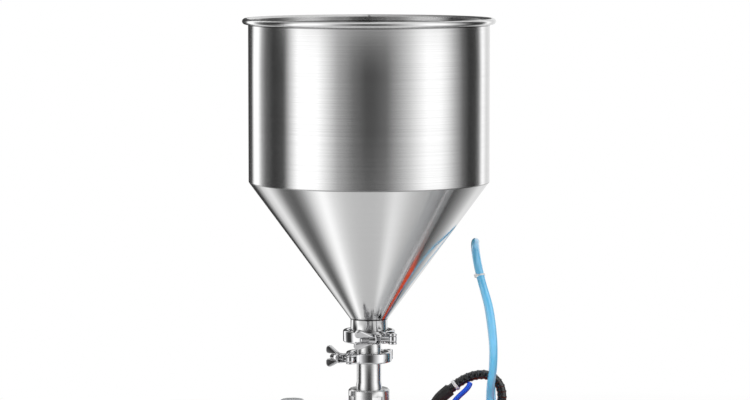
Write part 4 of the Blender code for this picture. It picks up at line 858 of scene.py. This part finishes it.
# %% Wing nut
def wing_nut(c):
    hub_x = c.ear_x - FIT
    hub_r, hub_l = 7.2 * MM, 10.5 * MM
    hub = turned([
        (4.1 * MM, hub_x - hub_l),
        (hub_r - 1.6 * MM, hub_x - hub_l),
        (hub_r - 1.2 * MM, hub_x - 6 * MM),
        (hub_r, hub_x - 3.5 * MM),
        (hub_r, hub_x),
        (4.1 * MM, hub_x),
    ], "X", (0, -c.bolt_y, 0))  # fmt: skip
    inner, outer = hub_r - 1.6 * MM, hub_r + 6.5 * MM
    tip_x = hub_x - c.wing_l
    wing = [
        (hub_x - 3 * MM, inner),
        (hub_x - 9 * MM, hub_r + MM),
        (tip_x + 10 * MM, outer + 0.5 * MM),
        (tip_x + 6 * MM, outer + 2 * MM),
        (tip_x + 2 * MM, outer + MM),
        (tip_x, outer - 2 * MM),
        (tip_x, outer - 7 * MM),
        (tip_x + 2 * MM, outer - 9.5 * MM),
        (tip_x + 8 * MM, outer - 9.5 * MM),
        (hub_x - 10.5 * MM, inner - 0.6 * MM),
    ]
    turn_wing = Matrix.Translation((0, -c.bolt_y, 0)) @ Matrix.Rotation(math.radians(c.wing_turn), 4, "X")
    blades = []
    for way in (1, -1):
        blade = soften(plate([(x, -WING_T / 2, way * z) for x, z in wing], (0, WING_T, 0)), 2 * MM, 50, 3)
        blade.transform(turn_wing)
        blades.append(blade)
    clamp_piece(c, "wing_nut", soften(hub, 0.5 * MM, 30), *blades)


# %% Both clamps
UPPER_CLAMP = clamp_sizes(
    side="upper", plane=UPPER_Z, ring_r=38 * MM, ring_h=17.5 * MM, ferrule_r=FERRULE_R, bolt_y=47 * MM,
    pivot_x=25 * MM, ear_x=0, wing_l=31 * MM, wing_turn=20, turn_by=12,
)  # fmt: skip
LOWER_CLAMP = clamp_sizes(
    side="lower", plane=LOWER_Z, ring_r=33.5 * MM, ring_h=15 * MM, ferrule_r=LOWER_R, bolt_y=42.5 * MM,
    pivot_x=10 * MM, ear_x=-12 * MM, wing_l=32 * MM, wing_turn=0, turn_by=-52,
)  # fmt: skip
for clamp in (UPPER_CLAMP, LOWER_CLAMP):
    for make in (bolt_half, slot_half, swing_bolt, wing_nut):
        make(clamp)

# %% [markdown]
# ## The machine below
# These pieces keep the CAD's own shape. Their flats are merged and every sharp edge gets a small
# rounding: more on cast and moulded parts, less on ground steel. The last column gives some of
# a piece's faces another material, such as the bright bezels round the controls.

# %% Eased pieces
FRONT_Y = -120.4 * MM
GLAND_Z = 285.4 * MM
PAD_TOP_Z = 8.2 * MM


def above(height):
    return lambda centre: centre.z > height


def proud(centre):
    return centre.y < FRONT_Y


EASED = [
    ("union_nut", turned_steel, "pipe_steel", 0.5),
    ("valve_body", barrel_steel, "pipe_steel", 0.5),
    ("valve_plug", bright_steel, "pipe_steel", 0.2),
    ("valve_cover", barrel_steel, "pipe_steel", 0.5),
    ("product_cylinder", barrel_steel, "pipe_steel", 0.4),
    ("product_cylinder_cap", barrel_steel, "pipe_steel", 0.5),
    ("product_piston", seal_white, "seal_white", 0.3),
    ("piston_seal", black_plastic, "black_plastic", 0.2),
    ("piston_rod", bright_steel, "pipe_steel", 0.3),
    ("rod_coupling", barrel_steel, "pipe_steel", 0.5),
    ("air_piston_rod", bright_steel, "pipe_steel", 0.3),
    ("stop_rod", bright_steel, "pipe_steel", 0.3),
    ("nozzle_pipe", barrel_steel, "pipe_steel", 0.4),
    ("nozzle_body", turned_steel, "pipe_steel", 0.4),
    ("nozzle_needle", bright_steel, "pipe_steel", 0.2),
    ("needle_spring", bright_steel, "pipe_steel", 0.1),
    ("nozzle_air_cylinder", anodised, "anodised", 0.6),
    ("actuator_housing", anodised, "anodised", 0.6),
    ("actuator_pinion", barrel_steel, "pipe_steel", 0.1),
    ("actuator_rack", barrel_steel, "pipe_steel", 0.1),
    ("actuator_end_cap", black_plastic, "black_plastic", 0.5),
    ("air_cylinder_front_head", anodised, "anodised", 0.6),
    ("air_cylinder_barrel", anodised, "anodised", 0.5),
    ("air_cylinder_rear_head", anodised, "anodised", 0.6),
    ("regulator_body", anodised, "anodised", 0.6),
    ("regulator_bowl", bowl_clear, "bowl_clear", 0.4),
    ("regulator_knob", black_plastic, "black_plastic", 0.8),
    ("handwheel", black_plastic, "black_plastic", 0.8),
    ("base_cabinet", sheet_steel, "sheet_steel", 0.5, (bright_steel, proud)),
    ("base_plate", sheet_steel, "sheet_steel", 0.5),
    ("valve_bracket", sheet_steel, "sheet_steel", 0.6),
    ("product_cylinder_bracket", sheet_steel, "sheet_steel", 0.6),
    ("air_cylinder_bracket", sheet_steel, "sheet_steel", 0.6),
    ("control_box", red_paint, "red_paint", 0.9, (black_plastic, above(GLAND_Z))),
    ("start_button", green_plastic, "green_plastic", 0.6),
    ("emergency_stop", red_plastic, "red_plastic", 1.0),
    ("selector_knob", black_plastic, "black_plastic", 0.6),
    ("speed_knob", black_plastic, "black_plastic", 0.4),
    ("sleeve_gland", foot_rubber, "black_plastic", 0.8),
    ("tube_fitting", bright_steel, "pipe_steel", 0.4),
]
stud = (bright_steel, above(PAD_TOP_Z))
EASED += [(f"foot_{number}", foot_rubber, "foot_rubber", 0.8, stud) for number in (1, 2, 3, 4)]
for node, material, slot, width, *faces in EASED:
    eased(node, material, slot, width * MM, faces)
print(len(EASED), "eased pieces")

# %% [markdown]
# ## Tubes
# The tubes are fixed at both ends, so their routes are the CAD's own points, repeated here and
# smoothed more finely. The light blue air tube rises from the fitting, turns over behind the
# hopper and comes down into the regulator.

# %% Routes
SUPPLY_ROUTE = [
    (180, 75, 289), (180, 75, 300), (179.9, 74, 313), (181, 68, 332), (183.7, 60, 356), (183.9, 50, 387),
    (181.3, 44, 418.5), (175.9, 40, 451), (166.5, 40, 483), (160.8, 48, 506), (157.2, 65, 527.5),
    (157.2, 84, 536.5), (158.5, 105, 538), (159, 127, 532), (160.5, 145, 519), (164.6, 160, 496),
    (171, 168.5, 468), (179.5, 172, 435), (184.7, 172.5, 402), (187.8, 171, 370), (187.3, 168, 341),
    (185.5, 162, 303), (190, 153, 262), (202, 145, 224), (212.7, 140, 192), (216, 138.3, 170),
    (216, 138.3, 160),
]  # fmt: skip
SLEEVE_ROUTE = [
    (121, 88, 318.8), (125.5, 88, 322.6), (132, 88, 327.7), (140, 88, 332.8), (148, 88, 336.6),
    (156, 88, 339.2), (164, 88, 340.6), (172, 88, 340.8), (179, 88, 339.2), (185.5, 88, 335.6),
    (191, 88, 330.2), (195, 88, 323.6), (197.2, 88, 316.5), (198, 88, 309), (198, 88, 300),
    (198, 88, 287),
]  # fmt: skip
SIGNAL_ROUTE = [
    (150.2, 82.4, 328.6), (149.2, 80.6, 326.2), (147.4, 79, 323.4), (143, 78, 318.4), (135.5, 78, 311.5),
    (129, 78, 304.8), (124.5, 78, 298), (122.4, 78, 292), (122, 78, 287),
]  # fmt: skip
print(len(SUPPLY_ROUTE), len(SLEEVE_ROUTE), "and", len(SIGNAL_ROUTE), "points")


# %% Sweep along a route
def smooth_route(points, per_span=6):
    """Points in metres on a smooth curve through the route's own points."""
    knots = [Vector(point) * MM for point in points]
    ends = [knots[0] * 2 - knots[1]] + knots + [knots[-1] * 2 - knots[-2]]
    route = []
    for before, here, there, after in zip(ends, ends[1:], ends[2:], ends[3:]):
        handle_a = here + (there - before) / 6
        handle_b = there - (after - here) / 6
        route += interpolate_bezier(here, handle_a, handle_b, there, per_span + 1)[:-1]
    return route + [knots[-1]]


def swept(name, route, radius, material, slot, *nodes):
    """A round tube along points in metres."""
    curve = bpy.data.curves.new(name, "CURVE")
    curve.dimensions = "3D"
    curve.bevel_depth = radius
    curve.bevel_resolution = 6
    curve.use_fill_caps = True
    spline = curve.splines.new("POLY")
    spline.points.add(len(route) - 1)
    for point, spot in zip(spline.points, route):
        point.co = (spot[0] + AXIS_X, spot[1], spot[2], 1)
    spline.use_smooth = True
    curve.materials.append(material)
    obj = bpy.data.objects.new(name, curve)
    bpy.context.scene.collection.objects.link(obj)
    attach(obj, "machine")
    if nodes:
        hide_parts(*nodes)
    print(f"{name}: {sum((b - a).length for a, b in zip(route, route[1:])) / MM:.0f} mm long")


SUPPLY_R = 6 * MM
SIGNAL_R = 4 * MM
swept("supply_tube", smooth_route(SUPPLY_ROUTE), SUPPLY_R, light_blue, "tube_light_blue", "air_supply_tube")
swept("signal_line", smooth_route(SIGNAL_ROUTE), SIGNAL_R, royal_blue, "tube_royal_blue", "signal_tube")

# %% [markdown]
# The black sleeve is a spiral wrap: a stiff band wound round the wires, so its outside is a row
# of soft slanting ribs. A core carries a second, thinner strand wound round it.

# %% Spiral sleeve
SLEEVE_R = 7.5 * MM
STRAND_R = 3.2 * MM
PITCH = 8 * MM
core = smooth_route(SLEEVE_ROUTE)
swept("sleeve_core", core, SLEEVE_R - 0.7 * MM, sleeve_plastic, "black_plastic", "cable_sleeve")
across = Vector((0, 1, 0))
strand = []
along = 0.0
reach = SLEEVE_R - STRAND_R
PARTS = 4
for here, there in zip(core, core[1:]):
    step = there - here
    out_way = step.normalized().cross(across)
    for part in range(PARTS):
        angle = math.tau * (along + step.length * part / PARTS) / PITCH
        outwards = out_way * math.cos(angle) + across * math.sin(angle)
        strand.append(here + step * part / PARTS + outwards * reach)
    along += step.length
swept("sleeve_strand", strand, STRAND_R, sleeve_plastic, "black_plastic")

# %% [markdown]
# White cable ties hold the sleeve's mouth and the air tube: a thin strap round the tube, with a
# square lock on one side.


# %% Cable ties
def cable_tie(name, start, end, radius, half_w):
    """A strap round a tube, half way between two points of its route, with its square lock."""
    start, end = Vector(start) * MM, Vector(end) * MM
    thick = 1.2 * MM
    lock = 2.6 * MM
    tie = together(
        soften(washer(radius - 0.1 * MM, radius + thick, -half_w, half_w), 0.3 * MM),
        soften(block((radius, radius + lock + MM), (-lock, lock), (-lock, lock)), 0.6 * MM),
    )
    turn_to = (end - start).to_track_quat("Z", "Y").to_matrix().to_4x4()
    tie.transform(Matrix.Translation((start + end) / 2) @ turn_to)
    piece(name, tie, tie_white)


cable_tie("sleeve_tie", SLEEVE_ROUTE[1], SLEEVE_ROUTE[2], SLEEVE_R, 2.4 * MM)
cable_tie("tube_tie", SUPPLY_ROUTE[8], SUPPLY_ROUTE[9], SUPPLY_R, 1.3 * MM)

# %% [markdown]
# ## Screws
# Cap screws hold the covers, heads and end plates. Each head is a short turned cylinder with a
# round socket sunk into it. They are plain fasteners, so they ride with the machine.


# %% Screw heads
def screw(axis, spot, way=1, radius=4 * MM, height=3 * MM):
    """A socket-head cap screw that stands out of a face, along an axis or against it."""
    head = bmesh.new()
    socket_r, socket_z = radius * 0.6, height * 0.3
    rims = [
        bmesh.ops.create_circle(head, segments=24, radius=r, matrix=Matrix.Translation((0, 0, z)))["verts"]
        for r, z in ((radius, 0), (radius, height), (socket_r, height), (socket_r, socket_z))
    ]
    for low, high in zip(rims, rims[1:]):
        edges = [e for e in head.edges if all(v in low or v in high for v in e.verts) and not e.link_faces]
        edges += [e for e in head.edges if all(v in low for v in e.verts) and len(e.link_faces) == 1]
        bmesh.ops.bridge_loops(head, edges=list(set(edges)))
    bmesh.ops.holes_fill(head, edges=[e for e in head.edges if e.is_boundary])
    soften(head, 0.35 * MM, 50)
    if way < 0:
        head.transform(Matrix.Rotation(math.pi, 4, "X"))
    head.transform(Matrix.Translation(spot) @ TURN_Z_TO[axis])
    return head


def circle_of(count, radius, start):
    """Spots evenly round a circle, as pairs."""
    angles = [math.radians(start + 360 * number / count) for number in range(count)]
    return [(radius * math.cos(a), radius * math.sin(a)) for a in angles]


def corners(across, low, high):
    return [(y, z) for y in across for z in (low, high)]


SCREWS = [
    ("valve_cover", "Y", -44.3, -1, circle_of(6, 25 * MM, 30)),
    ("cylinder_cap", "X", 284.6, 1, circle_of(4, 31 * MM, 45)),
    ("front_head", "X", 522.0, -1, corners((-22 * MM, 22 * MM), -22 * MM, 22 * MM)),
    ("rear_head", "X", 772.3, 1, corners((-22 * MM, 22 * MM), -22 * MM, 22 * MM)),
    ("actuator_left", "X", -80.0, -1, corners((56 * MM, 92 * MM), -33 * MM, 22 * MM)),
    ("actuator_right", "X", 80.0, 1, corners((56 * MM, 92 * MM), -33 * MM, 22 * MM)),
]
for name, axis, face_at, way, spots in SCREWS:
    face_at *= MM
    places = [(face_at, a, LINE_Z + b) if axis == "X" else (a, face_at, LINE_Z + b) for a, b in spots]
    heads = together(*[screw(axis, spot, way) for spot in places])
    piece(name + "_screws", heads, bright_steel, slot="pipe_steel")
